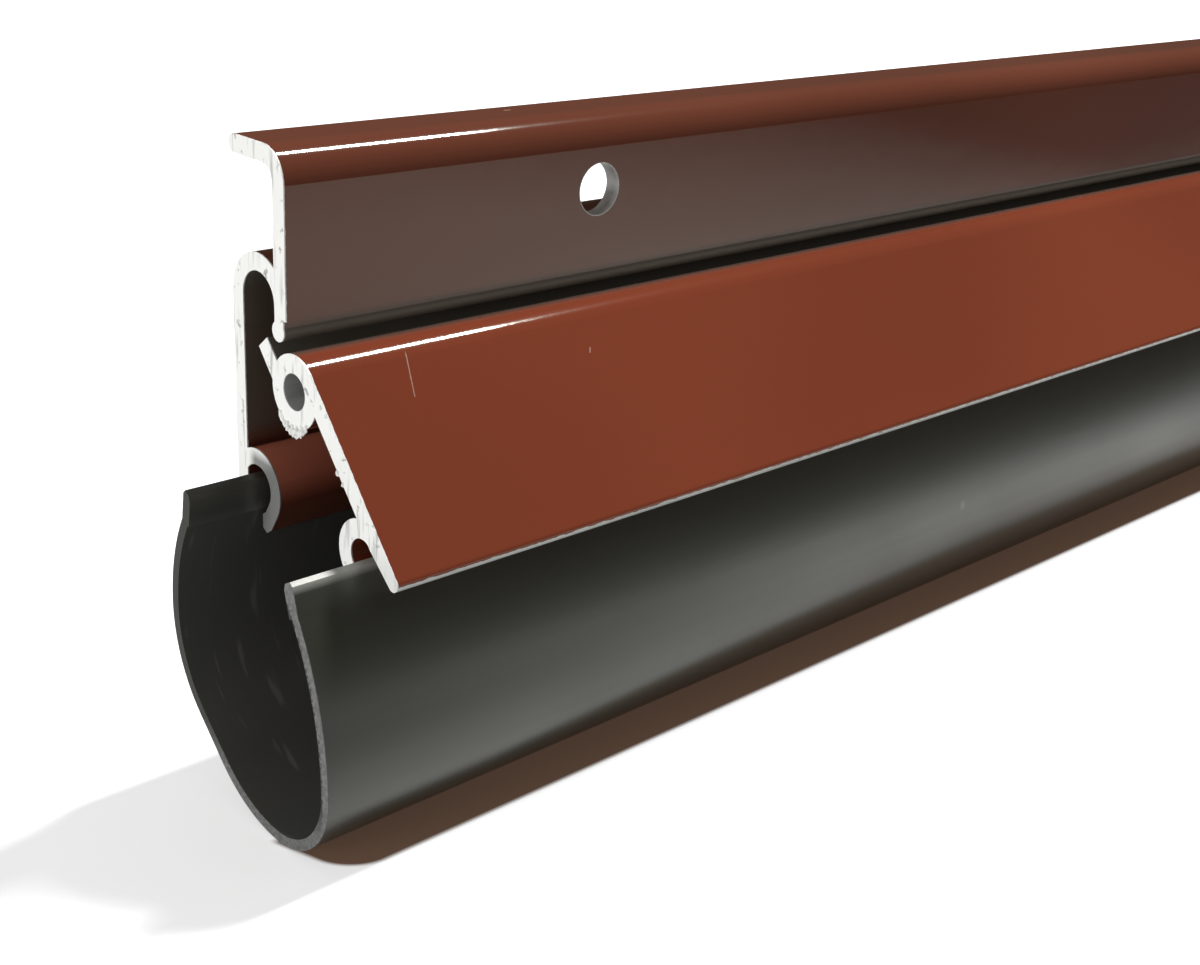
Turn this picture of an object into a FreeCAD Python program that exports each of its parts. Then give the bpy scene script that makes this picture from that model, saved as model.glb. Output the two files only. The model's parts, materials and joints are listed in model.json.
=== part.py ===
import FreeCAD, Part

import math
import os

import Sketcher

# Automatic door bottom seal for a door leaf.
# Frame: X runs along the door's width, +Y points into the door, +Z up.
# Origin: centre of the row of fixing holes, on the front face of the carrier's plate.

Vector = FreeCAD.Vector

SIZES = [
    ("profile_length", 770.0, "cut length of both aluminium profiles"),
    ("fixing_holes", 4, "screw holes in the plate, in one row"),
    ("end_to_hole", 35.0, "near cut end to the first fixing hole"),
    ("hole_to_far_end", 45.0, "last fixing hole to the far cut end"),
    ("fixing_hole_radius", 2.5, "clear hole for a fixing screw"),
    ("base_depth", 8.2, "front face of the plate to the door's face"),
    ("plate_wall", 1.7, "thickness of the front plate"),
    ("base_wall", 1.6, "thickness of flange, arch and back leg"),
    ("base_top", 7.0, "top of the flange above the fixing holes"),
    ("top_corner_radius", 3.0, "round corner between flange and plate"),
    ("top_inner_radius", 1.4, "fillet inside that corner"),
    ("arch_drop", 6.4, "centre of the arch below the fixing holes"),
    ("shoulder_drop", 7.4, "lower end of the plate's full thickness"),
    ("neck_wall", 1.3, "plate's thickness between shoulder and bead"),
    ("bead_drop", 8.5, "hinge bead's centre below the fixing holes"),
    ("bead_inset", 1.2, "hinge bead's centre behind the front face"),
    ("bead_radius", 0.9, "hinge bead"),
    ("leg_drop", 26.2, "lower end of the back leg"),
    ("leg_corner_radius", 0.4, "rounding of the leg's lower end"),
    ("base_hook_drop", 23.9, "centre of the carrier's hook"),
    ("base_hook_reach", 1.6, "from the leg's inner face to the hook's centre"),
    ("base_hook_radius", 2.1, "inside radius of the carrier's hook"),
    ("base_hook_wall", 1.5, "thickness of the carrier's hook"),
    ("base_hook_turn", 32.0, "how far the hook turns in below the level, degrees"),
    ("base_hook_lip", 2.7, "straight lip of the hook"),
    ("base_hook_barb", 0.25, "height of the barb on the lip"),
    ("flap_angle", 40.3, "flap's lean from upright when the seal is raised"),
    ("flap_length", 24.3, "hinge axis to the flap's lower edge"),
    ("flap_wall", 1.8, "thickness of the flap"),
    ("flap_edge_wall", 1.3, "thickness of the flap's lower edge"),
    ("flap_face", 2.0, "flap's outer face in front of the hinge axis"),
    ("boss_inset", 1.3, "screw port's centre behind the hinge axis"),
    ("boss_drop", 5.07, "screw port's centre below the hinge axis"),
    ("port_radius", 1.63, "screw port"),
    ("nib_gap", 1.95, "hinge axis to the nib's inner face"),
    ("nib_wall", 1.7, "thickness of the nib"),
    ("nib_rise", 0.4, "nib's end above the hinge axis"),
    ("flap_hook_drop", 20.2, "centre of the flap's hook below the hinge axis"),
    ("flap_hook_reach", 1.5, "from the flap's inner face to its hook's centre"),
    ("flap_hook_radius", 1.6, "inside radius of the flap's hook"),
    ("flap_hook_wall", 1.7, "thickness of the flap's hook"),
    ("flap_hook_turn", 10.0, "how far that hook turns in, degrees"),
    ("flap_hook_lip", 1.3, "straight lip of that hook"),
    ("seal_wall", 1.0, "thickness of the seal"),
    ("seal_overhang", 7.2, "seal's length beyond each cut end"),
    ("seal_door_gap", 0.15, "seal's back to the door's face"),
    ("seal_belly_drop", 34.5, "level where the seal comes nearest the door"),
    ("seal_bottom_drop", 50.8, "lowest line of the seal"),
    ("seal_bottom_out", 8.5, "that line in front of the plate"),
    ("seal_back_radius", 19.0, "seal's upper back"),
    ("seal_round_radius", 13.0, "seal's lower back and bottom"),
    ("seal_front_radius", 7.8, "seal's lower front"),
    ("seal_face_radius", 30.9, "seal's upper front"),
    ("bead_bar_wall", 1.2, "thickness of the seal's two beads"),
    ("bead_gap", 0.45, "seal's back bead to the top of its hook"),
    ("back_bar_length", 3.0, "height of the seal's back bead"),
    ("back_bar_tilt", 8.5, "lean of the back bead, degrees"),
    ("front_bar_length", 3.0, "height of the seal's front bead"),
    ("front_bar_tilt", 16.0, "lean of the front bead, degrees"),
    ("clip_length", 22.0, "length of a hinge clip"),
    ("clip_count", 4, "hinge clips along the flap"),
    ("clip_start", 160.0, "near cut end to the first clip"),
    ("clip_finish", 108.0, "last clip to the far cut end"),
    ("clip_wall", 0.8, "wall of a hinge clip"),
    ("clip_clearance", 0.05, "running clearance of a clip on the bead"),
    ("clip_seat_gap", 0.1, "clip to the flap it is pushed on"),
    ("clip_boss_gap", 0.4, "clip's back to the flap's boss"),
    ("claw_from", 65.0, "start of the claw, degrees from straight up"),
    ("claw_to", 277.0, "end of the claw, degrees from straight up"),
    ("crank_gap", 0.4, "profiles' far end to the crank plate"),
    ("crank_wall", 2.0, "thickness of the crank plate"),
    ("crank_rim", 1.75, "crank plate's edge round its screw"),
    ("crank_screw_radius", 1.55, "shank of the crank screw"),
    ("crank_screw_length", 14.0, "crank screw"),
    ("crank_head_radius", 2.7, "countersunk head of the crank screw"),
    ("peg_radius", 0.9, "pegs that key the sleeve to the crank plate"),
    ("peg_offset", 2.8, "pegs from the hinge axis"),
    ("peg_clearance", 0.05, "pegs in the crank plate"),
    ("peg_end_gap", 0.4, "pegs' ends to the crank plate's inner side"),
    ("sleeve_wall", 1.7, "wall of the cam sleeve"),
    ("sleeve_floor", 1.5, "closed end of the cam sleeve"),
    ("sleeve_rim", 1.2, "ring that closes the sleeve's slots"),
    ("swing_range", 30.0, "how far the flap swings in, degrees"),
    ("plunger_travel", 7.5, "how far the plunger is pushed in"),
    ("rod_radius", 2.0, "plunger rod"),
    ("rod_stub", 6.0, "rod's inner end beyond the cross pin"),
    ("pin_radius", 0.8, "cross pin"),
    ("pin_reach", 1.1, "cross pin beyond the cam sleeve"),
    ("pin_end_gap", 0.2, "cross pin's end to the keyway"),
    ("pin_clearance", 0.01, "cross pin in the rod"),
    ("slot_clearance", 0.15, "cross pin in the slots and keyways"),
    ("slot_ease", 0.02, "extra width of the twisted slots, each side"),
    ("running_clearance", 0.08, "sleeve in its bore, rod in its bush"),
    ("end_play", 0.4, "axial play inside the housing"),
    ("washer_wall", 0.5, "spring washer"),
    ("spring_wire", 0.3, "radius of the spring's wire"),
    ("spring_gap", 0.25, "spring to the rod inside it and the sleeve round it"),
    ("spring_turns", 5, "turns of the spring"),
    ("housing_front_gap", 0.6, "crank plate to the barrel's open end"),
    ("housing_door_gap", 0.1, "housing to the door's face"),
    ("housing_end_wall", 3.5, "barrel's closed end"),
    ("housing_back_corner", 1.0, "housing's top corner at the door"),
    ("tongue_length", 22.0, "housing's tongue inside the carrier"),
    ("tongue_gap", 0.2, "tongue to the carrier's walls"),
    ("bush_wall", 1.2, "wall of the rod's bush"),
    ("bush_rim", 1.0, "flange beyond the bush's wall"),
    ("bush_flange", 0.8, "thickness of that flange"),
    ("housing_screw_rise", 1.5, "housing screws above the fixing holes"),
    ("housing_screw_end", 6.0, "far end to the outer housing screw"),
    ("housing_screw_pitch", 9.0, "between the two housing screws"),
    ("housing_screw_radius", 1.45, "shank of a housing screw"),
    ("housing_screw_length", 7.0, "shank under the head"),
    ("screw_head_radius", 2.9, "pan head"),
    ("screw_head_height", 1.9, "pan head"),
    ("screw_head_bevel", 0.63, "bevel round the pan head"),
    ("recess_width", 0.7, "arm of the cross recess"),
    ("recess_depth", 1.1, "cross recess"),
    ("recess_length", 3.2, "across a pan head's cross recess"),
    ("recess_rim", 0.4, "countersunk head round its cross recess"),
    ("screw_hole_clearance", 0.15, "housing screw in the plate"),
    ("thread_clearance", 0.05, "screw thread in its hole"),
    ("nut_wall", 1.5, "rod to the lock nut's flats"),
    ("nut_height", 2.4, "lock nut"),
    ("nut_gap", 0.6, "lock nut to the bush when pushed in"),
    ("button_radius", 4.6, "plunger button"),
    ("button_length", 6.5, "plunger button"),
    ("button_bevel", 1.5, "bevel of the button's nose"),
    ("button_grip", 4.5, "rod inside the button"),
]


class Size:
    """A number together with the text of its expression in the sheet."""

    def __init__(self, value, text):
        self.value = value
        self.text = text

    def __add__(self, other):
        other = as_size(other)
        return Size(self.value + other.value, "(%s + %s)" % (self.text, other.text))

    def __sub__(self, other):
        other = as_size(other)
        return Size(self.value - other.value, "(%s - %s)" % (self.text, other.text))

    def __mul__(self, other):
        other = as_size(other)
        return Size(self.value * other.value, "(%s * %s)" % (self.text, other.text))

    def __truediv__(self, other):
        other = as_size(other)
        return Size(self.value / other.value, "(%s / %s)" % (self.text, other.text))

    def __neg__(self):
        return Size(-self.value, "(0 - %s)" % self.text)


def as_size(number):
    if isinstance(number, Size):
        return number
    return Size(float(number), repr(float(number)))


def root(size):
    return Size(math.sqrt(size.value), "sqrt(%s)" % size.text)


def square(size):
    return size * size


def cosine(angle):
    return Size(math.cos(math.radians(angle.value)), "cos(%s)" % angle.text)


def sine(angle):
    return Size(math.sin(math.radians(angle.value)), "sin(%s)" % angle.text)


class Named:
    """The sheet's sizes, one attribute for each alias."""


doc = FreeCAD.newDocument("door_bottom_seal")
sheet = doc.addObject("Spreadsheet::Sheet", "Sizes")
size = Named()
for row, (alias, value, note) in enumerate(SIZES, start=1):
    sheet.set("A%d" % row, alias.replace("_", " "))
    sheet.set("B%d" % row, repr(value))
    sheet.set("C%d" % row, note)
    sheet.setAlias("B%d" % row, alias)
    setattr(size, alias, Size(float(value), "Sizes." + alias))
doc.recompute()

# Places that several pieces share.

hole_row = size.profile_length - size.end_to_hole - size.hole_to_far_end
near_end = -(size.end_to_hole + hole_row / 2)
far_end = near_end + size.profile_length
clip_row = size.profile_length - size.clip_start - size.clip_finish - size.clip_length
clip_pitch = clip_row / (size.clip_count - 1)
hinge_y = size.bead_inset
hinge_z = -size.bead_drop
leg_inner = size.base_depth - size.base_wall
arch_y = (size.plate_wall + leg_inner) / 2
arch_z = -size.arch_drop
base_hook_y = leg_inner - size.base_hook_reach
base_hook_z = -size.base_hook_drop
boss_radius = size.flap_face + size.boss_inset
flap_inner = size.flap_wall - size.flap_face

crank_start = far_end + size.crank_gap
crank_end = crank_start + size.crank_wall
barrel_start = crank_end + size.housing_front_gap
floor_end = crank_end + size.sleeve_floor
pin_rest = floor_end + size.end_play + size.rod_stub + size.plunger_travel
slot_margin = size.pin_radius + size.slot_clearance
slot_from = pin_rest - size.plunger_travel - slot_margin
slot_to = pin_rest + slot_margin
sleeve_end = slot_to + size.sleeve_rim
bore_end = sleeve_end + size.end_play
housing_end = bore_end + size.housing_end_wall
bush_end = housing_end + size.bush_flange
nut_start = bush_end + size.nut_gap + size.plunger_travel
button_start = nut_start + size.nut_height
spring_radius = size.rod_radius + size.spring_gap + size.spring_wire
sleeve_bore = spring_radius + size.spring_wire + size.spring_gap
sleeve_radius = sleeve_bore + size.sleeve_wall
bore_radius = sleeve_radius + size.running_clearance
pin_half = sleeve_radius + size.pin_reach
keyway_radius = pin_half + size.pin_end_gap
bush_radius = size.rod_radius + size.bush_wall
crank_foot_radius = size.crank_screw_radius + size.crank_rim
housing_radius = size.base_depth - size.bead_inset - size.housing_door_gap
turn_per_length = size.swing_range / size.plunger_travel


# Drawing and building helpers.

def line(y, z):
    return ("line", as_size(y), as_size(z), None, None, None)


def arc(y, z, centre_y, centre_z, turn):
    """An arc to the point (y, z); turn is left or right as seen along the way."""
    return ("arc", as_size(y), as_size(z), as_size(centre_y), as_size(centre_z), turn)


def make_body(label, x=0.0, y=0.0, z=0.0, tilt=None):
    """A body whose own frame lies at (x, y, z), turned about X by tilt degrees."""
    body = doc.addObject("PartDesign::Body", label)
    body.Label = label
    angle = as_size(0.0 if tilt is None else tilt)
    place = [as_size(x), as_size(y), as_size(z)]
    body.Placement = FreeCAD.Placement(
        Vector(*[part.value for part in place]),
        FreeCAD.Rotation(Vector(1, 0, 0), angle.value),
    )
    for axis, part in zip("xyz", place):
        body.setExpression("Placement.Base." + axis, part.text)
    if tilt is not None:
        body.setExpression("Placement.Rotation.Angle", angle.text)
    return body


def new_sketch(body, name, role="YZ_Plane", offset=0.0):
    plane = [part for part in body.Origin.OriginFeatures if part.Role == role][0]
    sketch = body.newObject("Sketcher::SketchObject", name)
    sketch.AttachmentSupport = [(plane, "")]
    sketch.MapMode = "FlatFace"
    offset = as_size(offset)
    sketch.AttachmentOffset = FreeCAD.Placement(Vector(0, 0, offset.value), FreeCAD.Rotation())
    sketch.setExpression("AttachmentOffset.Base.z", offset.text)
    return sketch


def dimension(sketch, kind, geometry, point, amount, name):
    amount = as_size(amount)
    index = sketch.addConstraint(
        Sketcher.Constraint(kind, -1, 1, geometry, point, amount.value)
    )
    sketch.renameConstraint(index, name)
    sketch.setExpression("Constraints." + name, amount.text)


def outline(sketch, start, moves):
    """Draws a closed outline from start through the moves; each corner is dimensioned."""
    corner = (as_size(start[0]), as_size(start[1]))
    ends = []
    for kind, y, z, centre_y, centre_z, turn in moves:
        here = Vector(corner[0].value, corner[1].value, 0)
        there = Vector(y.value, z.value, 0)
        if kind == "line":
            index = sketch.addGeometry(Part.LineSegment(here, there))
            ends.append((index, 1, 2))
        else:
            centre = Vector(centre_y.value, centre_z.value, 0)
            circle = Part.Circle(centre, Vector(0, 0, 1), (here - centre).Length)
            angles = [math.atan2(end.y - centre.y, end.x - centre.x) for end in (here, there)]
            if turn == "right":
                angles.reverse()
            if angles[1] <= angles[0]:
                angles[1] += 2 * math.pi
            index = sketch.addGeometry(Part.ArcOfCircle(circle, angles[0], angles[1]))
            ends.append((index, 1, 2) if turn == "left" else (index, 2, 1))
            chord = there - here
            if abs(chord.x) > abs(chord.y):
                dimension(sketch, "DistanceY", index, 3, centre_z, "centre_z%d" % index)
            else:
                dimension(sketch, "DistanceX", index, 3, centre_y, "centre_y%d" % index)
        corner = (y, z)
        dimension(sketch, "DistanceX", index, ends[-1][2], y, "end_y%d" % index)
        dimension(sketch, "DistanceY", index, ends[-1][2], z, "end_z%d" % index)
    for number, (index, begin, _) in enumerate(ends):
        before = ends[number - 1]
        sketch.addConstraint(
            Sketcher.Constraint("Coincident", before[0], before[2], index, begin)
        )


def ring(sketch, y, z, radius):
    """Draws a circle with its centre and radius dimensioned."""
    y, z, radius = as_size(y), as_size(z), as_size(radius)
    centre = Vector(y.value, z.value, 0)
    index = sketch.addGeometry(Part.Circle(centre, Vector(0, 0, 1), radius.value))
    dimension(sketch, "DistanceX", index, 3, y, "centre_y%d" % index)
    dimension(sketch, "DistanceY", index, 3, z, "centre_z%d" % index)
    number = sketch.addConstraint(Sketcher.Constraint("Radius", index, radius.value))
    sketch.renameConstraint(number, "radius%d" % index)
    sketch.setExpression("Constraints.radius%d" % index, radius.text)


def rectangle(sketch, low_y, low_z, high_y, high_z):
    outline(
        sketch,
        (low_y, low_z),
        [line(high_y, low_z), line(high_y, high_z), line(low_y, high_z), line(low_y, low_z)],
    )


def pad(body, sketch, length, name):
    feature = body.newObject("PartDesign::Pad", name)
    feature.Profile = sketch
    feature.setExpression("Length", as_size(length).text)
    return feature


def pocket(body, sketch, length, name, ahead=True):
    """Cuts the sketch out of the body; ahead means along the sketch's normal."""
    doc.recompute()
    before = body.Shape.Volume
    feature = body.newObject("PartDesign::Pocket", name)
    feature.Profile = sketch
    feature.Reversed = ahead
    feature.setExpression("Length", as_size(length).text)
    doc.recompute()
    if not feature.Shape.Volume < before - 1e-6:
        raise RuntimeError("%s cuts nothing" % feature.Name)
    return feature


def row_of(body, feature, count, length, name):
    """Repeats a feature along X; length is from the first one to the last."""
    pattern = body.newObject("PartDesign::LinearPattern", name)
    pattern.Originals = [feature]
    axis = [part for part in body.Origin.OriginFeatures if part.Role == "X_Axis"][0]
    pattern.Direction = (axis, [""])
    pattern.setExpression("Occurrences", count.text)
    pattern.setExpression("Length", length.text)
    body.Tip = pattern
    return pattern


def shaft(label, x, y, z, radius, length, tilt=None):
    """A round bar along X."""
    body = make_body(label, x, y, z, tilt)
    sketch = new_sketch(body, label + "_circle")
    ring(sketch, 0.0, 0.0, radius)
    pad(body, sketch, length, label + "_bar")
    return body


def hook(body, name, centre, face, inside, radius, wall, turn, lip, barb, back):
    """The hook that holds one bead of the seal, rooted in the wall with its face at face.

    back is 1 where the hook springs from a wall behind it and -1 where it springs
    from a wall in front of it.
    """
    centre_y, centre_z = centre
    outer = radius + wall
    across = cosine(turn)
    down = sine(turn)

    def lip_point(out, along):
        y = centre_y - (out * across - along * down) * back
        return (y, centre_z - out * down - along * across)

    to_face = face - centre_y
    to_inside = inside - centre_y
    face_z = centre_z + root(square(radius) - square(to_face))
    inside_z = centre_z + root(square(outer) - square(to_inside))
    inner_end = lip_point(radius, as_size(0.0))
    outer_end = lip_point(outer, as_size(0.0))
    onward = "left" if back == 1 else "right"
    homeward = "right" if back == 1 else "left"
    moves = [
        line(face, face_z),
        arc(inner_end[0], inner_end[1], centre_y, centre_z, onward),
        line(*lip_point(radius, lip * 0.4)),
        line(*lip_point(radius - barb, lip * 0.6)),
        line(*lip_point(radius + wall * 0.3, lip)),
        line(*lip_point(radius + wall * 0.75, lip)),
        line(*lip_point(outer, lip * 0.7)),
        line(*outer_end),
        arc(inside, inside_z, centre_y, centre_z, homeward),
        line(inside, face_z),
    ]
    sketch = new_sketch(body, name)
    outline(sketch, (inside, face_z), moves)
    return sketch


# Carrier: one extrusion, screwed to the door.

def build_base_profile():
    body = make_body("base_profile", near_end)
    nose = size.base_wall / 2
    top = size.base_top
    under = top - size.base_wall
    fillet = size.top_inner_radius
    neck_front = size.plate_wall - size.neck_wall

    sketch = new_sketch(body, "plate_and_flange")
    outline(sketch, (0.0, -size.shoulder_drop), [
        line(0.0, top - size.top_corner_radius),
        arc(size.top_corner_radius, top, size.top_corner_radius, top - size.top_corner_radius, "right"),
        line(size.base_depth - nose, top),
        arc(size.base_depth - nose, under, size.base_depth - nose, top - nose, "right"),
        line(size.plate_wall + fillet, under),
        arc(size.plate_wall, under - fillet, size.plate_wall + fillet, under - fillet, "left"),
        line(size.plate_wall, hinge_z),
        line(neck_front, hinge_z),
        line(neck_front, -size.shoulder_drop),
        line(0.0, -size.shoulder_drop),
    ])
    pad(body, sketch, size.profile_length, "plate")

    sketch = new_sketch(body, "bead_circle")
    ring(sketch, hinge_y, hinge_z, size.bead_radius)
    pad(body, sketch, size.profile_length, "bead")

    middle = size.plate_wall / 2
    outer = size.base_depth - arch_y
    meet_z = arch_z + root(square(outer) - square(arch_y - middle))
    corner = size.leg_corner_radius
    foot = -size.leg_drop
    sketch = new_sketch(body, "arch_and_leg")
    outline(sketch, (leg_inner, foot + corner), [
        line(leg_inner, arch_z),
        arc(size.plate_wall, arch_z, arch_y, arch_z, "left"),
        line(middle, arch_z),
        line(middle, meet_z),
        arc(size.base_depth, arch_z, arch_y, arch_z, "right"),
        line(size.base_depth, foot + corner),
        arc(size.base_depth - corner, foot, size.base_depth - corner, foot + corner, "right"),
        line(leg_inner + corner, foot),
        arc(leg_inner, foot + corner, leg_inner + corner, foot + corner, "right"),
    ])
    pad(body, sketch, size.profile_length, "leg")

    sketch = hook(
        body, "base_hook", (base_hook_y, base_hook_z), leg_inner, leg_inner + size.base_wall / 2,
        size.base_hook_radius, size.base_hook_wall, size.base_hook_turn, size.base_hook_lip,
        size.base_hook_barb, 1,
    )
    pad(body, sketch, size.profile_length, "hook")

    sketch = new_sketch(body, "fixing_hole", "XZ_Plane", -size.plate_wall)
    ring(sketch, size.end_to_hole, 0.0, size.fixing_hole_radius)
    hole = pocket(body, sketch, size.plate_wall, "fixing_holes", True)
    row_of(body, hole, size.fixing_holes, hole_row, "fixing_hole_row")

    sketch = new_sketch(body, "housing_hole", "XZ_Plane", -size.plate_wall)
    outer_screw = size.profile_length - size.housing_screw_end
    hole_radius = size.housing_screw_radius + size.screw_hole_clearance
    ring(sketch, outer_screw, size.housing_screw_rise, hole_radius)
    ring(sketch, outer_screw - size.housing_screw_pitch, size.housing_screw_rise, hole_radius)
    pocket(body, sketch, size.plate_wall, "housing_holes", True)
    return body


# Flap: one extrusion in the frame of its hinge, drawn hanging straight down.

def build_swing_profile():
    body = make_body("swing_profile", near_end, hinge_y, hinge_z, -size.flap_angle)
    front = -size.flap_face
    tip = size.flap_edge_wall / 2
    edge = -size.flap_length

    sketch = new_sketch(body, "wall")
    outline(sketch, (front, edge + tip), [
        line(front, -size.boss_drop),
        line(flap_inner, -size.boss_drop),
        line(flap_inner, -size.flap_hook_drop),
        line(front + size.flap_edge_wall, edge + tip),
        arc(front, edge + tip, front + tip, edge + tip, "right"),
    ])
    pad(body, sketch, size.profile_length, "flap")

    sketch = new_sketch(body, "boss_circle")
    ring(sketch, size.boss_inset, -size.boss_drop, boss_radius)
    pad(body, sketch, size.profile_length, "boss")

    sketch = new_sketch(body, "nib")
    rectangle(sketch, size.nib_gap, -size.boss_drop, size.nib_gap + size.nib_wall, size.nib_rise)
    pad(body, sketch, size.profile_length, "nib_plate")

    hook_y = flap_inner + size.flap_hook_reach
    sketch = hook(
        body, "flap_hook", (hook_y, -size.flap_hook_drop), flap_inner,
        flap_inner - size.flap_wall / 2, size.flap_hook_radius, size.flap_hook_wall,
        size.flap_hook_turn, size.flap_hook_lip, as_size(0.0), -1,
    )
    pad(body, sketch, size.profile_length, "hook")

    sketch = new_sketch(body, "port_circle")
    ring(sketch, size.boss_inset, -size.boss_drop, size.port_radius)
    pocket(body, sketch, size.profile_length, "screw_port")
    return body


# Seal: a half-tube of rubber hung by its two beads.

def build_seal_membrane():
    body = make_body("seal_membrane", near_end - size.seal_overhang)
    length = size.profile_length + size.seal_overhang * 2
    wall = size.seal_wall
    round_radius = size.seal_round_radius
    front_radius = size.seal_front_radius
    back_radius = size.seal_back_radius
    face_radius = size.seal_face_radius

    belly_y = size.base_depth - size.seal_door_gap
    belly_z = -size.seal_belly_drop
    back_y = belly_y - back_radius
    round_y = belly_y - round_radius
    bottom_y = -size.seal_bottom_out
    bottom_z = -size.seal_bottom_drop
    low_z = bottom_z + round_radius
    front_z = bottom_z + front_radius
    front_y = bottom_y - front_radius
    face_y = front_y + face_radius

    # The straight stretch touches the belly's round and the bottom's round.
    step_y = bottom_y - round_y
    step_z = low_z - belly_z
    step = root(square(step_y) + square(step_z))
    out_y = -step_z / step
    out_z = step_y / step

    bar = size.bead_bar_wall / 2
    back_top = base_hook_z + size.base_hook_radius - size.bead_gap
    back_foot = back_top - size.back_bar_length
    back_outer = back_y + root(square(back_radius) - square(back_foot - belly_z))
    back_inner = back_y + root(square(back_radius - wall) - square(back_foot - belly_z))

    tilt = size.flap_angle
    hook_y = flap_inner + size.flap_hook_reach
    channel_y = hinge_y + hook_y * cosine(tilt) - size.flap_hook_drop * sine(tilt)
    channel_z = hinge_z - hook_y * sine(tilt) - size.flap_hook_drop * cosine(tilt)
    lean_y = sine(size.front_bar_tilt)
    lean_z = cosine(size.front_bar_tilt)
    foot_y = channel_y - lean_y * size.front_bar_length
    foot_z = channel_z - lean_z * size.front_bar_length
    face_top = face_y - root(square(face_radius) - square(foot_z - front_z))
    face_in = face_y - root(square(face_radius - wall) - square(foot_z - front_z))

    sketch = new_sketch(body, "half_tube")
    outline(sketch, (back_outer, back_foot), [
        arc(belly_y, belly_z, back_y, belly_z, "right"),
        arc(round_y + out_y * round_radius, belly_z + out_z * round_radius,
            round_y, belly_z, "right"),
        line(bottom_y + out_y * round_radius, low_z + out_z * round_radius),
        arc(bottom_y, bottom_z, bottom_y, low_z, "right"),
        arc(front_y, front_z, bottom_y, front_z, "right"),
        arc(face_top, foot_z, face_y, front_z, "right"),
        line(face_in, foot_z),
        arc(front_y + wall, front_z, face_y, front_z, "left"),
        arc(bottom_y, bottom_z + wall, bottom_y, front_z, "left"),
        arc(bottom_y + out_y * (round_radius - wall), low_z + out_z * (round_radius - wall),
            bottom_y, low_z, "left"),
        line(round_y + out_y * (round_radius - wall), belly_z + out_z * (round_radius - wall)),
        arc(belly_y - wall, belly_z, round_y, belly_z, "left"),
        arc(back_inner, back_foot, back_y, belly_z, "left"),
        line(back_outer, back_foot),
    ])
    pad(body, sketch, length, "tube")

    # Each bead is a bar with rounded ends that starts from the tube's edge.
    middle = (back_outer + back_inner) / 2
    slant_y = sine(size.back_bar_tilt)
    slant_z = cosine(size.back_bar_tilt)
    top_y = middle - slant_y * size.back_bar_length
    top_z = back_foot + slant_z * size.back_bar_length
    sketch = new_sketch(body, "back_bead")
    capsule(sketch, (middle, back_foot), (top_y, top_z - bar), bar, slant_y, slant_z)
    pad(body, sketch, length, "back_bar")

    middle = (face_top + face_in) / 2
    top_y = middle + lean_y * size.front_bar_length
    top_z = foot_z + lean_z * size.front_bar_length
    sketch = new_sketch(body, "front_bead")
    capsule(sketch, (middle, foot_z), (top_y, top_z - bar), bar, -lean_y, lean_z)
    pad(body, sketch, length, "front_bar")
    return body


def capsule(sketch, low, high, half, slant_y, slant_z):
    """A bar with round ends from low to high; its axis leans back by the slant."""
    side_y = slant_z * half
    side_z = slant_y * half
    outline(sketch, (low[0] - side_y, low[1] - side_z), [
        arc(low[0] + side_y, low[1] + side_z, low[0], low[1], "left"),
        line(high[0] + side_y, high[1] + side_z),
        arc(high[0] - side_y, high[1] - side_z, high[0], high[1], "left"),
        line(low[0] - side_y, low[1] - side_z),
    ])


# Hinge clips: pushed over the flap's nib, clawed round the carrier's bead.

def build_hinge_clip(number):
    label = "hinge_clip_%d" % number
    start = near_end + size.clip_start + clip_pitch * (number - 1)
    body = make_body(label, start, hinge_y, hinge_z, -size.flap_angle)
    inner = size.bead_radius + size.clip_clearance
    outer = inner + size.clip_wall
    gap = size.clip_seat_gap
    slot_front = size.nib_gap - gap
    slot_back = size.nib_gap + size.nib_wall + gap
    back = slot_back + size.clip_wall
    slot_top = size.nib_rise + gap
    top = slot_top + size.clip_wall
    seat = boss_radius + gap
    seat_y = size.boss_inset
    seat_z = -size.boss_drop
    seat_back_z = seat_z + root(square(seat) - square(slot_front - seat_y))
    seat_front_y = -outer / 3
    seat_front_z = seat_z + root(square(seat) - square(seat_front_y - seat_y))
    begin = size.claw_from + size.flap_angle
    finish = size.claw_to + size.flap_angle
    boss_rise = root(square(boss_radius) - square(size.nib_gap + size.nib_wall - seat_y))
    barb_z = seat_z + boss_rise + size.clip_boss_gap

    def claw(radius, angle):
        return (-(radius * sine(angle)), radius * cosine(angle))

    claw_tip = claw(outer, finish)
    sketch = new_sketch(body, label + "_section")
    outline(sketch, claw(inner, begin), [
        arc(*claw(inner, finish), 0.0, 0.0, "left"),
        line(*claw_tip),
        line(claw_tip[0], top),
        line(back, top),
        line(back, barb_z),
        line(slot_back, barb_z),
        line(slot_back, slot_top),
        line(slot_front, slot_top),
        line(slot_front, seat_back_z),
        arc(seat_front_y, seat_front_z, seat_y, seat_z, "left"),
        line(*claw(outer, begin)),
        line(*claw(inner, begin)),
    ])
    pad(body, sketch, size.clip_length, label + "_pad")
    return body


# End housing: a block beyond the profiles, with a tongue in the carrier's channel.

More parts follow.
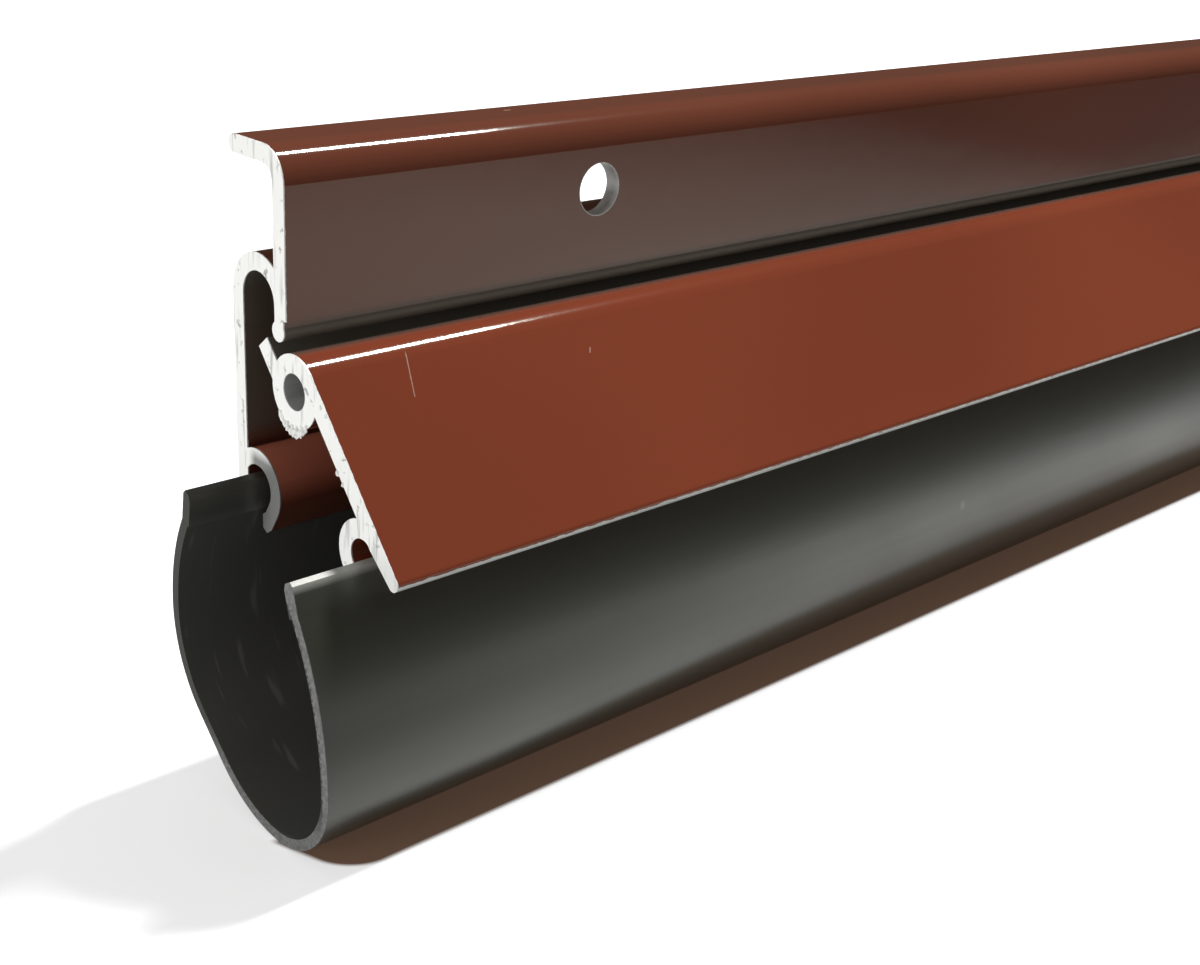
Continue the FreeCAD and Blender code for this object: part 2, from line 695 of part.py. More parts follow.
def build_end_housing():
    body = make_body("end_housing", far_end)
    back = size.base_depth - size.housing_door_gap
    top = size.base_top
    corner = size.top_corner_radius
    back_corner = size.housing_back_corner
    arch_top = arch_z + size.base_depth - arch_y
    block_foot = arch_top + size.tongue_gap
    block_length = housing_end - far_end
    barrel_offset = barrel_start - far_end
    meet_z = hinge_z + root(square(housing_radius) - square(hinge_y))

    sketch = new_sketch(body, "block_outline")
    outline(sketch, (0.0, block_foot), [
        line(0.0, top - corner),
        arc(corner, top, corner, top - corner, "right"),
        line(back - back_corner, top),
        arc(back, top - back_corner, back - back_corner, top - back_corner, "right"),
        line(back, block_foot),
        line(0.0, block_foot),
    ])
    pad(body, sketch, block_length, "block")

    sketch = new_sketch(body, "barrel_outline", offset=barrel_offset)
    outline(sketch, (0.0, meet_z), [
        line(0.0, block_foot + corner),
        line(back, block_foot + corner),
        line(back, hinge_z),
        arc(0.0, meet_z, hinge_y, hinge_z, "right"),
    ])
    pad(body, sketch, block_length - barrel_offset, "barrel")

    gap = size.tongue_gap
    front = size.plate_wall + gap
    roof = top - size.base_wall - gap
    fillet = size.top_inner_radius
    sketch = new_sketch(body, "tongue_outline", offset=-size.tongue_length)
    outline(sketch, (front, block_foot), [
        line(front, roof - fillet),
        arc(front + fillet, roof, front + fillet, roof - fillet, "right"),
        line(back - gap, roof),
        line(back - gap, block_foot),
        line(front, block_foot),
    ])
    pad(body, sketch, size.tongue_length + size.crank_gap, "tongue")

    sketch = new_sketch(body, "bore_circle", offset=barrel_offset)
    ring(sketch, hinge_y, hinge_z, bore_radius)
    pocket(body, sketch, bore_end - barrel_start, "bore")

    half = size.pin_radius + size.slot_clearance
    sketch = new_sketch(body, "keyway_outline", offset=barrel_offset)
    rectangle(
        sketch, hinge_y - half, hinge_z - keyway_radius, hinge_y + half, hinge_z + keyway_radius,
    )
    pocket(body, sketch, slot_to - barrel_start, "keyways")

    sketch = new_sketch(body, "bush_circle", offset=barrel_offset)
    ring(sketch, hinge_y, hinge_z, bush_radius)
    pocket(body, sketch, block_length - barrel_offset, "bush_hole")

    sketch = new_sketch(body, "pilot_holes", "XZ_Plane", -(size.base_depth - gap * 2))
    pilot = size.housing_screw_radius + size.thread_clearance
    for screw in (0, 1):
        along = -(size.housing_screw_end + size.housing_screw_pitch * screw)
        ring(sketch, along, size.housing_screw_rise, pilot)
    pocket(body, sketch, size.base_depth, "screw_holes", True)
    return body


def build_housing_screws():
    """Two pan-head screws with cross recesses, entering from the front."""
    body = make_body("housing_screws", far_end)
    head = size.screw_head_height
    places = [-(size.housing_screw_end + size.housing_screw_pitch * screw) for screw in (0, 1)]

    sketch = new_sketch(body, "shank_circles", "XZ_Plane", -size.housing_screw_length)
    for along in places:
        ring(sketch, along, size.housing_screw_rise, size.housing_screw_radius)
    pad(body, sketch, size.housing_screw_length, "shanks")

    sketch = new_sketch(body, "head_circles", "XZ_Plane")
    for along in places:
        ring(sketch, along, size.housing_screw_rise, size.screw_head_radius)
    heads = pad(body, sketch, head, "heads")

    doc.recompute()
    rims = []
    for number, edge in enumerate(body.Shape.Edges, start=1):
        on_top = abs(edge.BoundBox.YMax + head.value) < 0.001
        if on_top and abs(edge.BoundBox.YMin + head.value) < 0.001:
            rims.append("Edge%d" % number)
    bevel = body.newObject("PartDesign::Chamfer", "head_edges")
    bevel.Base = (heads, rims)
    bevel.setExpression("Size", size.screw_head_bevel.text)
    doc.recompute()

    half = size.recess_width / 2
    reach = size.recess_length / 2
    rise = size.housing_screw_rise
    sketch = new_sketch(body, "recesses", "XZ_Plane", head - size.recess_depth)
    for along in places:
        outline(sketch, (along + half, rise + half), [
            line(along + half, rise + reach),
            line(along - half, rise + reach),
            line(along - half, rise + half),
            line(along - reach, rise + half),
            line(along - reach, rise - half),
            line(along - half, rise - half),
            line(along - half, rise - reach),
            line(along + half, rise - reach),
            line(along + half, rise - half),
            line(along + reach, rise - half),
            line(along + reach, rise + half),
            line(along + half, rise + half),
        ])
    pocket(body, sketch, size.recess_depth, "cross_recesses", True)
    return body


# Crank: carries the flap's far end on the hinge axis.

def build_crank_plate():
    body = make_body("crank_plate", crank_start, hinge_y, hinge_z, -size.flap_angle)
    hub = sleeve_radius
    foot = crank_foot_radius
    foot_y = size.boss_inset
    foot_z = -size.boss_drop
    reach = root(square(foot_y) + square(foot_z))
    # Both side lines touch the hub's and the foot's circles.
    along_y = foot_y / reach
    along_z = foot_z / reach
    lean = (hub - foot) / reach
    flat = root(as_size(1.0) - square(lean))

    def touch(centre_y, centre_z, radius, side):
        y = centre_y + (along_y * lean - along_z * flat * side) * radius
        z = centre_z + (along_z * lean + along_y * flat * side) * radius
        return (y, z)

    nothing = as_size(0.0)
    sketch = new_sketch(body, "crank_outline")
    outline(sketch, touch(nothing, nothing, hub, 1), [
        arc(*touch(nothing, nothing, hub, -1), 0.0, 0.0, "left"),
        line(*touch(foot_y, foot_z, foot, -1)),
        arc(*touch(foot_y, foot_z, foot, 1), foot_y, foot_z, "left"),
        line(*touch(nothing, nothing, hub, 1)),
    ])
    pad(body, sketch, size.crank_wall, "plate")

    sketch = new_sketch(body, "seat_circle", offset=-size.crank_gap)
    ring(sketch, foot_y, foot_z, crank_foot_radius - size.running_clearance)
    pad(body, sketch, size.crank_gap, "seat")

    sketch = new_sketch(body, "screw_circle", offset=-size.crank_gap)
    ring(sketch, foot_y, foot_z, size.crank_screw_radius + size.thread_clearance)
    pocket(body, sketch, size.crank_gap + size.crank_wall, "screw_hole")
    sink_depth = size.crank_head_radius - size.crank_screw_radius
    countersink = body.newObject("PartDesign::SubtractiveCone", "countersink")
    countersink.Placement = FreeCAD.Placement(
        Vector((size.crank_wall - sink_depth).value, foot_y.value, foot_z.value),
        FreeCAD.Rotation(Vector(0, 1, 0), 90),
    )
    countersink.setExpression("Placement.Base.x", (size.crank_wall - sink_depth).text)
    countersink.setExpression("Placement.Base.y", foot_y.text)
    countersink.setExpression("Placement.Base.z", foot_z.text)
    countersink.setExpression("Radius1", (size.crank_screw_radius + size.thread_clearance).text)
    countersink.setExpression("Radius2", (size.crank_head_radius + size.thread_clearance).text)
    countersink.setExpression("Height", sink_depth.text)
    doc.recompute()

    peg_y = along_z * size.peg_offset
    peg_z = -(along_y * size.peg_offset)
    sketch = new_sketch(body, "peg_circles")
    ring(sketch, peg_y, peg_z, size.peg_radius + size.peg_clearance)
    ring(sketch, -peg_y, -peg_z, size.peg_radius + size.peg_clearance)
    pocket(body, sketch, size.crank_wall, "peg_holes")
    return body


def build_crank_screw():
    foot_y = size.boss_inset
    foot_z = -size.boss_drop
    body = make_body("crank_screw", crank_end, hinge_y, hinge_z, -size.flap_angle)
    sink_depth = size.crank_head_radius - size.crank_screw_radius
    sketch = new_sketch(body, "shank_circle", offset=-size.crank_screw_length)
    ring(sketch, foot_y, foot_z, size.crank_screw_radius)
    pad(body, sketch, size.crank_screw_length, "shank")
    doc.recompute()
    cone = body.newObject("PartDesign::AdditiveCone", "head")
    cone.Placement = FreeCAD.Placement(
        Vector(-sink_depth.value, foot_y.value, foot_z.value),
        FreeCAD.Rotation(Vector(0, 1, 0), 90),
    )
    cone.setExpression("Placement.Base.x", (-sink_depth).text)
    cone.setExpression("Placement.Base.y", foot_y.text)
    cone.setExpression("Placement.Base.z", foot_z.text)
    cone.setExpression("Radius1", size.crank_screw_radius.text)
    cone.setExpression("Radius2", size.crank_head_radius.text)
    cone.setExpression("Height", sink_depth.text)
    doc.recompute()
    half = size.recess_width / 2
    reach = size.crank_head_radius - size.recess_depth - size.recess_rim
    for name, wide, tall in (("recess_across", reach, half), ("recess_up", half, reach)):
        sketch = new_sketch(body, name, offset=-size.recess_depth)
        rectangle(sketch, foot_y - wide, foot_z - tall, foot_y + wide, foot_z + tall)
        pocket(body, sketch, size.recess_depth, name + "_cut")
    return body


def build_cam_sleeve():
    """A cup on the hinge axis; a twisted slot on each side turns it as the pin slides."""
    body = make_body("cam_sleeve", crank_end, hinge_y, hinge_z, -size.flap_angle)
    sketch = new_sketch(body, "sleeve_circle")
    ring(sketch, 0.0, 0.0, sleeve_radius)
    pad(body, sketch, sleeve_end - crank_end, "sleeve")
    sketch = new_sketch(body, "bore_circle", offset=size.sleeve_floor)
    ring(sketch, 0.0, 0.0, sleeve_bore)
    pocket(body, sketch, sleeve_end - crank_end, "bore")

    foot_y = size.boss_inset
    foot_z = -size.boss_drop
    reach = root(square(foot_y) + square(foot_z))
    peg_y = foot_z / reach * size.peg_offset
    peg_z = -(foot_y / reach * size.peg_offset)
    peg_length = size.crank_wall - size.peg_end_gap
    sketch = new_sketch(body, "peg_circles", offset=-peg_length)
    ring(sketch, peg_y, peg_z, size.peg_radius)
    ring(sketch, -peg_y, -peg_z, size.peg_radius)
    pad(body, sketch, peg_length, "pegs")

    # The slot is straight up where the pin rests and turns back from there.
    half = slot_margin + size.slot_ease
    length = keyway_radius
    ends = []
    for name, place in (("slot_outer", slot_to), ("slot_inner", slot_from)):
        angle = size.flap_angle + turn_per_length * (place - pin_rest)
        side_y, side_z = cosine(angle) * half, sine(angle) * half
        tip_y, tip_z = -(sine(angle) * length), cosine(angle) * length
        sketch = new_sketch(body, name, offset=place - crank_end)
        outline(sketch, (tip_y + side_y, tip_z + side_z), [
            line(tip_y - side_y, tip_z - side_z),
            line(-tip_y - side_y, -tip_z - side_z),
            line(-tip_y + side_y, -tip_z + side_z),
            line(tip_y + side_y, tip_z + side_z),
        ])
        ends.append(sketch)
    doc.recompute()
    before = body.Shape.Volume
    slot = body.newObject("PartDesign::SubtractiveLoft", "cam_slot")
    slot.Profile = ends[0]
    slot.Sections = [ends[1]]
    slot.Ruled = True
    doc.recompute()
    if not body.Shape.Volume < before:
        raise RuntimeError("the cam slot cuts nothing")
    return body


# Plunger: the jamb pushes its button, the cross pin turns the sleeve.

def build_plunger():
    stub = pin_rest - size.rod_stub
    rod_length = button_start + size.button_grip - stub
    rod = shaft("plunger_rod", stub, hinge_y, hinge_z, size.rod_radius, rod_length)
    sketch = new_sketch(rod, "pin_hole", "XY_Plane", -size.rod_radius * 2)
    ring(sketch, size.rod_stub, 0.0, size.pin_radius + size.pin_clearance)
    pocket(rod, sketch, size.rod_radius * 4, "cross_hole", True)

    pin = make_body("cross_pin", pin_rest, hinge_y, hinge_z)
    sketch = new_sketch(pin, "pin_circle", "XY_Plane", -pin_half)
    ring(sketch, 0.0, 0.0, size.pin_radius)
    pad(pin, sketch, pin_half * 2, "pin")

    washer_start = pin_rest - size.pin_radius - size.washer_wall
    washer = make_body("spring_washer", washer_start, hinge_y, hinge_z)
    sketch = new_sketch(washer, "washer_circles")
    ring(sketch, 0.0, 0.0, sleeve_bore - size.running_clearance)
    ring(sketch, 0.0, 0.0, size.rod_radius + size.running_clearance)
    pad(washer, sketch, size.washer_wall, "washer")

    nut = make_body("lock_nut", nut_start, hinge_y, hinge_z)
    sketch = new_sketch(nut, "nut_outline")
    across = size.rod_radius + size.nut_wall
    point = across * 2 / root(as_size(3.0))
    outline(sketch, (across, point / 2), [
        line(0.0, point),
        line(-across, point / 2),
        line(-across, -point / 2),
        line(0.0, -point),
        line(across, -point / 2),
        line(across, point / 2),
    ])
    ring(sketch, 0.0, 0.0, size.rod_radius + size.thread_clearance)
    pad(nut, sketch, size.nut_height, "nut")

    button = make_body("plunger_button", button_start, hinge_y, hinge_z)
    radius = size.button_radius
    bevel = size.button_bevel
    length = size.button_length
    grip = size.button_grip + size.thread_clearance
    hole = size.rod_radius + size.thread_clearance
    sketch = new_sketch(button, "button_half", "XY_Plane")
    outline(sketch, (0.0, hole), [
        line(0.0, radius),
        line(length - bevel, radius),
        line(length, radius - bevel),
        line(length, 0.0),
        line(grip, 0.0),
        line(grip, hole),
        line(0.0, hole),
    ])
    turned = button.newObject("PartDesign::Revolution", "button")
    turned.Profile = sketch
    turned.ReferenceAxis = (sketch, ["H_Axis"])
    turned.Angle = 360.0
    return [rod, pin, washer, nut, button]


def build_rod_bush():
    body = make_body("rod_bush", bore_end, hinge_y, hinge_z)
    sketch = new_sketch(body, "bush_circles")
    ring(sketch, 0.0, 0.0, bush_radius)
    ring(sketch, 0.0, 0.0, size.rod_radius + size.running_clearance)
    pad(body, sketch, size.housing_end_wall, "bush")
    sketch = new_sketch(body, "flange_circles", offset=size.housing_end_wall)
    ring(sketch, 0.0, 0.0, bush_radius + size.bush_rim)
    ring(sketch, 0.0, 0.0, size.rod_radius + size.running_clearance)
    pad(body, sketch, size.bush_flange, "flange")
    return body


def build_plunger_spring():
    """A compression spring between the sleeve's floor and the washer, its wire drawn with six flats."""
    washer_start = pin_rest - size.pin_radius - size.washer_wall
    start = floor_end + size.spring_wire
    length = washer_start - floor_end - size.spring_wire * 2
    turn = doc.addObject("Part::Helix", "spring_helix")
    turn.setExpression("Radius", spring_radius.text)
    turn.setExpression("Height", length.text)
    turn.setExpression("Pitch", (length / size.spring_turns).text)
    wire = doc.addObject("Part::RegularPolygon", "spring_wire")
    wire.Polygon = 6
    wire.setExpression("Circumradius", size.spring_wire.text)
    wire.Placement = FreeCAD.Placement(
        Vector(spring_radius.value, 0, 0), FreeCAD.Rotation(Vector(1, 0, 0), 90)
    )
    wire.setExpression("Placement.Base.x", spring_radius.text)
    spring = doc.addObject("Part::Sweep", "plunger_spring")
    spring.Label = "plunger_spring"
    spring.Sections = [wire]
    spring.Spine = (turn, [])
    spring.Solid = True
    spring.Frenet = True
    spring.Placement = FreeCAD.Placement(
        Vector(start.value, hinge_y.value, hinge_z.value),
        FreeCAD.Rotation(Vector(0, 1, 0), 90),
    )
    spring.setExpression("Placement.Base.x", start.text)
    spring.setExpression("Placement.Base.y", hinge_y.text)
    spring.setExpression("Placement.Base.z", hinge_z.text)
    return spring


pieces = [build_base_profile(), build_swing_profile(), build_seal_membrane()]
for clip in range(1, int(size.clip_count.value) + 1):
    pieces.append(build_hinge_clip(clip))
pieces += [build_end_housing(), build_housing_screws(), build_rod_bush()]
pieces += [build_crank_plate(), build_crank_screw(), build_cam_sleeve()]
pieces += build_plunger()
pieces.append(build_plunger_spring())

doc.recompute()
for item in doc.Objects:
    if "Invalid" in item.State or "Error" in item.State:
        raise RuntimeError("%s failed: %s" % (item.Name, item.State))
for piece in pieces:
    if piece.Shape.isNull() or not piece.Shape.isValid():
        raise RuntimeError("%s has no valid shape" % piece.Label)

os.makedirs("parts", exist_ok=True)
for piece in pieces:
    piece.Shape.exportStep("parts/%s.step" % piece.Label)
    print(piece.Label, len(piece.Shape.Solids), round(piece.Shape.Volume, 2))
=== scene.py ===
"""Looks of the automatic door bottom seal: painted extrusions, saw burrs, rubber, hardware and studio."""

import json
import math

import bmesh
import bpy
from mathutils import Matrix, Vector


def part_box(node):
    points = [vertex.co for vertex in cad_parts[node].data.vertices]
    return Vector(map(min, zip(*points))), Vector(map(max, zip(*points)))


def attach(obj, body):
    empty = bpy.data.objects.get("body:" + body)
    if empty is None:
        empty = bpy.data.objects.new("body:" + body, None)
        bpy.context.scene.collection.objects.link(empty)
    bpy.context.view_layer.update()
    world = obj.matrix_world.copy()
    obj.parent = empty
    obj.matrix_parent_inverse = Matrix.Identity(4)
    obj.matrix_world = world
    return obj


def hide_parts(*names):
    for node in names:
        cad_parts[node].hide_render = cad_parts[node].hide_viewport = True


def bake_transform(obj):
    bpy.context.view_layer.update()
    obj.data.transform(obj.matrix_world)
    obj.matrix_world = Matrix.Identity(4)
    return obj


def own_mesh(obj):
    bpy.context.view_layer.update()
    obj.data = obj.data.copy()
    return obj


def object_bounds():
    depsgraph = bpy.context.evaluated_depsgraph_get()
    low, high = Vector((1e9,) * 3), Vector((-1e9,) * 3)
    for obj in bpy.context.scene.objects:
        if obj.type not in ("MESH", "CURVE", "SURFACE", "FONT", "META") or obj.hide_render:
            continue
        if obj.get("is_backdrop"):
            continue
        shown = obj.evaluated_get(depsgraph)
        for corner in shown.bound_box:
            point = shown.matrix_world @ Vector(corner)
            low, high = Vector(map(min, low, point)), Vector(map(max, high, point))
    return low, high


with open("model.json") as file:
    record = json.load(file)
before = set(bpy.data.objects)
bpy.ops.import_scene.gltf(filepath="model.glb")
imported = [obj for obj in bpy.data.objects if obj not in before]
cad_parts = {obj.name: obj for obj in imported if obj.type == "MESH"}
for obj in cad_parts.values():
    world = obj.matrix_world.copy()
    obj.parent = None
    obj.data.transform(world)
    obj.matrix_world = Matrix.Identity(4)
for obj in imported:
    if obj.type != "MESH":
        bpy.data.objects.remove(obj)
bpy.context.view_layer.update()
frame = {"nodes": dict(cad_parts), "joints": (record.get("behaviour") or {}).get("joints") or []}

bl_info = {
    "name": "Door bottom seal",
    "version": (1, 0, 0),
    "blender": (4, 5, 0),
    "location": "View3D > Sidebar > Door seal",
    "description": "Finishes, rubber and studio of an automatic door bottom seal",
    "category": "Object",
}

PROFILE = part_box("base_profile")
NEAR_END = PROFILE[0][0]
FAR_END = PROFILE[1][0]
DOOR_FACE = PROFILE[1][1]
HINGE = Vector(next(joint["pos_m"] for joint in frame["joints"] if joint["name"] == "flap_swing"))

# The section, in metres; the two walls lie just outside the bores that they find.
HOLE_ROW = (-0.345, -0.115, 0.115, 0.345)
HOLE_WALL = 0.00256
FLAP_ANGLE = math.radians(40.3)
FLAP_OUT = Vector((0.0, -math.cos(FLAP_ANGLE), math.sin(FLAP_ANGLE)))
FLAP_UP = Vector((0.0, math.sin(FLAP_ANGLE), math.cos(FLAP_ANGLE)))
SCREW_PORT = HINGE - FLAP_OUT * 0.0013 - FLAP_UP * 0.00507
PORT_WALL = 0.00172
BACK_RADIUS = 0.019
LOWER_RADIUS = 0.013
FOOT_RADIUS = 0.0078
FACE_RADIUS = 0.0309
BEAD_LENGTH = 0.003
REST_PLACE = "rest_place"

BLACK = (0.0, 0.0, 0.0, 1.0)
WHITE = (1.0, 1.0, 1.0, 1.0)
WARM_ROOM = (1.0, 0.78, 0.6, 1.0)
WORN_PAINT = (0.4, 0.23, 0.18, 1.0)
# Painted light on the top of the carrier's hook.
HOOK_PAINTED_LIGHT = (0.46, 0.14, 0.085, 1.0)
RUBBED_RUBBER = (0.42, 0.42, 0.4, 1.0)
# Painted highlight along the top edge of the front bead.
BRIM_PAINTED_HIGHLIGHT = (0.4, 0.4, 0.37, 1.0)


# Sizes and colours that a user would change.

class DoorSealStudio(bpy.types.PropertyGroup):
    camera_place: bpy.props.FloatVectorProperty(
        name="Camera place", description="Where the camera stands",
        size=3, subtype="TRANSLATION", unit="LENGTH", default=(-0.45197, -0.11288, 0.03391),
    )
    camera_turn: bpy.props.FloatVectorProperty(
        name="Camera turn", description="How the camera is turned",
        size=3, subtype="EULER",
        default=(math.radians(67.6016), math.radians(-3.1381), math.radians(-42.7929)),
    )
    focal_length: bpy.props.FloatProperty(
        name="Focal length", description="Lens in millimetres on a 36 mm sensor",
        default=49.504, min=10.0, max=300.0,
    )
    floor_colour: bpy.props.FloatVectorProperty(
        name="Floor", description="Colour of the floor", size=3, subtype="COLOR",
        default=(0.86, 0.86, 0.86), min=0.0, max=1.0,
    )
    shadow_colour: bpy.props.FloatVectorProperty(
        name="Shadow", description="Colour of the floor close under the seal", size=3, subtype="COLOR",
        default=(0.12, 0.072, 0.048), min=0.0, max=1.0,
    )
    floor_bounce: bpy.props.FloatProperty(
        name="Floor bounce", description="Share of the floor's light that lights the object",
        default=0.5, min=0.0, max=1.0,
    )
    floor_glow: bpy.props.FloatProperty(
        name="Floor glow", description="What the camera sees added to the floor",
        default=0.5, min=0.0, max=1.0,
    )
    key_power: bpy.props.FloatProperty(
        name="Key lamp", description="Power of the softbox high over the object",
        subtype="POWER", default=22.0, min=0.0,
    )
    end_power: bpy.props.FloatProperty(
        name="End lamp", description="Power of the softbox that faces the near end",
        subtype="POWER", default=10.5, min=0.0,
    )
    sky_light: bpy.props.FloatProperty(
        name="Room light", description="Strength of the room's light on the object",
        default=0.24, min=0.0, max=5.0,
    )


class DoorSealPaint(bpy.types.PropertyGroup):
    carrier_colour: bpy.props.FloatVectorProperty(
        name="Carrier's paint", description="Darker gloss paint of the carrier", size=3, subtype="COLOR",
        default=(0.155, 0.046, 0.026), min=0.0, max=1.0,
    )
    flap_colour: bpy.props.FloatVectorProperty(
        name="Flap's paint", description="Red-brown gloss paint of the flap", size=3, subtype="COLOR",
        default=(0.228, 0.051, 0.024), min=0.0, max=1.0,
    )
    # Grey of the recesses: thin paint with painted light deep in the carrier, and painted shade at the hinge
    # bead and behind the flap.
    groove_and_shade: bpy.props.FloatVectorProperty(
        name="Groove", description="Thin dull paint in the grooves", size=3, subtype="COLOR",
        default=(0.13, 0.11, 0.088), min=0.0, max=1.0,
    )
    roughness: bpy.props.FloatProperty(
        name="Gloss", description="Roughness of the paint", default=0.08, min=0.0, max=1.0,
    )
    bare_metal: bpy.props.FloatVectorProperty(
        name="Bare aluminium", description="Sawn and drilled aluminium", size=3, subtype="COLOR",
        default=(0.93, 0.93, 0.9), min=0.0, max=1.0,
    )
    cut_edge: bpy.props.FloatProperty(
        name="Bare edge", description="How far the bare metal shows round a cut end",
        subtype="DISTANCE", default=0.00012, min=0.0,
    )


class DoorSealRubber(bpy.types.PropertyGroup):
    colour: bpy.props.FloatVectorProperty(
        name="Rubber", description="Charcoal black rubber", size=3, subtype="COLOR",
        default=(0.032, 0.034, 0.026), min=0.0, max=1.0,
    )
    # Inside: painted light that lifts the seal's inner side.
    inner_light_colour: bpy.props.FloatVectorProperty(
        name="Inside", description="Dull bloom on the seal's inner side", size=3, subtype="COLOR",
        default=(0.095, 0.095, 0.085), min=0.0, max=1.0,
    )
    # Lower side: a painted brown reflection of the shadow under the seal.
    low_reflection_colour: bpy.props.FloatVectorProperty(
        name="Lower side", description="Brown dust on the lower side", size=3, subtype="COLOR",
        default=(0.04, 0.027, 0.02), min=0.0, max=1.0,
    )
    cut_colour: bpy.props.FloatVectorProperty(
        name="Cut rubber", description="The rubber's sawn ends", size=3, subtype="COLOR",
        default=(0.17, 0.17, 0.165), min=0.0, max=1.0,
    )
    wall: bpy.props.FloatProperty(
        name="Wall", description="Thickness of the seal", subtype="DISTANCE", default=0.001,
    )
    overhang: bpy.props.FloatProperty(
        name="Overhang", description="How far the seal stands out of the cut ends",
        subtype="DISTANCE", default=0.0072,
    )


# Material tools.

def new_material(name):
    material = bpy.data.materials.new(name)
    material.use_nodes = True
    return material, material.node_tree, material.node_tree.nodes["Principled BSDF"]


def add_node(tree, kind, sockets=(), **settings):
    """Adds a node; sockets pairs an input's name or number with a value or another node's output."""
    made = tree.nodes.new(kind)
    for name, value in settings.items():
        setattr(made, name, value)
    for socket, value in sockets:
        if isinstance(value, bpy.types.NodeSocket):
            tree.links.new(value, made.inputs[socket])
        else:
            made.inputs[socket].default_value = value
    return made


def calc(tree, operation, *values):
    made = add_node(tree, "ShaderNodeMath", enumerate(values), operation=operation)
    return made.outputs[0]


def vector_calc(tree, operation, *values, output=0):
    made = add_node(tree, "ShaderNodeVectorMath", enumerate(values), operation=operation)
    return made.outputs[output]


def overlap(tree, *masks):
    """The product of several masks."""
    product = masks[0]
    for mask in masks[1:]:
        product = calc(tree, "MULTIPLY", product, mask)
    return product


def mix_colour(tree, factor, first, second):
    pairs = [(0, factor), (6, first), (7, second)]
    return add_node(tree, "ShaderNodeMix", pairs, data_type="RGBA").outputs[2]


def mix_value(tree, factor, first, second):
    pairs = [(0, factor), (2, first), (3, second)]
    return add_node(tree, "ShaderNodeMix", pairs, data_type="FLOAT").outputs[0]


def object_place(tree):
    """The point in the object's frame, and its x, y and z."""
    place = add_node(tree, "ShaderNodeTexCoord").outputs["Object"]
    split = add_node(tree, "ShaderNodeSeparateXYZ", [(0, place)])
    return place, split.outputs[0], split.outputs[1], split.outputs[2]


def noise(tree, vector, scale, detail=2.0):
    pairs = [("Vector", vector), ("Scale", scale), ("Detail", detail)]
    return add_node(tree, "ShaderNodeTexNoise", pairs).outputs["Fac"]


def stretch(tree, vector, factors):
    made = add_node(tree, "ShaderNodeMapping", [("Vector", vector), ("Scale", factors)])
    return made.outputs[0]


def ramp(tree, value, low, high):
    """0 below low, 1 above high, straight between."""
    pairs = [("Value", value), ("From Min", low), ("From Max", high)]
    return add_node(tree, "ShaderNodeMapRange", pairs, clamp=True).outputs[0]


def band(tree, value, begin, full, fade, end):
    """0 outside begin and end, 1 between full and fade."""
    return overlap(tree, ramp(tree, value, begin, full), ramp(tree, value, end, fade))


def circle(tree, first, second, centre, radius):
    """1 inside a circle; first and second are the two coordinates across its axis."""
    across = calc(tree, "SUBTRACT", first, centre[0])
    along = calc(tree, "SUBTRACT", second, centre[1])
    square = calc(tree, "ADD", calc(tree, "MULTIPLY", across, across), calc(tree, "MULTIPLY", along, along))
    return calc(tree, "LESS_THAN", square, radius ** 2)


def bump(tree, height, strength, distance):
    pairs = [("Height", height), ("Strength", strength), ("Distance", distance)]
    return add_node(tree, "ShaderNodeBump", pairs).outputs[0]


def new_group(name, inputs, outputs):
    """A shader node group; inputs and outputs pair a name with a socket type and a default."""
    tree = bpy.data.node_groups.new(name, "ShaderNodeTree")
    for label, kind, default in inputs:
        socket = tree.interface.new_socket(label, in_out="INPUT", socket_type=kind)
        if default is not None:
            socket.default_value = default
    for label, kind in outputs:
        tree.interface.new_socket(label, in_out="OUTPUT", socket_type=kind)
    return tree, tree.nodes.new("NodeGroupInput"), tree.nodes.new("NodeGroupOutput")


def scratch_group():
    """A short straight scratch or fleck: 1 on it and 0 off it."""
    tree, given, result = new_group(
        "Scratch",
        [("Vector", "NodeSocketVector", None), ("Place", "NodeSocketVector", None),
         ("Along", "NodeSocketVector", None), ("Length", "NodeSocketFloat", 0.002),
         ("Width", "NodeSocketFloat", 0.0003)],
        [("Mask", "NodeSocketFloat")],
    )
    away = vector_calc(tree, "SUBTRACT", given.outputs["Vector"], given.outputs["Place"])
    reach = vector_calc(tree, "DOT_PRODUCT", away, given.outputs["Along"], output=1)
    half = calc(tree, "MULTIPLY", given.outputs["Length"], 0.5)
    inside = calc(tree, "MINIMUM", calc(tree, "MAXIMUM", reach, calc(tree, "MULTIPLY", half, -1.0)), half)
    pairs = [(0, given.outputs["Along"]), ("Scale", inside)]
    along = add_node(tree, "ShaderNodeVectorMath", pairs, operation="SCALE")
    aside = vector_calc(tree, "SUBTRACT", away, along.outputs[0])
    distance = vector_calc(tree, "LENGTH", aside, output=1)
    edge = calc(tree, "DIVIDE", distance, given.outputs["Width"])
    wobble = noise(tree, given.outputs["Vector"], 2500.0)
    mask = ramp(tree, calc(tree, "ADD", edge, calc(tree, "MULTIPLY", wobble, 0.5)), 1.0, 0.55)
    tree.links.new(mask, result.inputs[0])
    return tree


def dust_group():
    """Sparse small specks."""
    tree, given, result = new_group(
        "Dust",
        [("Vector", "NodeSocketVector", None), ("Scale", "NodeSocketFloat", 250.0),
         ("Amount", "NodeSocketFloat", 0.1)],
        [("Mask", "NodeSocketFloat")],
    )
    cell = add_node(
        tree, "ShaderNodeTexVoronoi",
        [("Vector", given.outputs["Vector"]), ("Scale", given.outputs["Scale"])],
    )
    split = add_node(tree, "ShaderNodeSeparateColor", [(0, cell.outputs["Color"])])
    chosen = calc(tree, "LESS_THAN", split.outputs[0], given.outputs["Amount"])
    speck = ramp(tree, cell.outputs["Distance"], 0.12, 0.06)
    tree.links.new(overlap(tree, chosen, speck), result.inputs[0])
    return tree


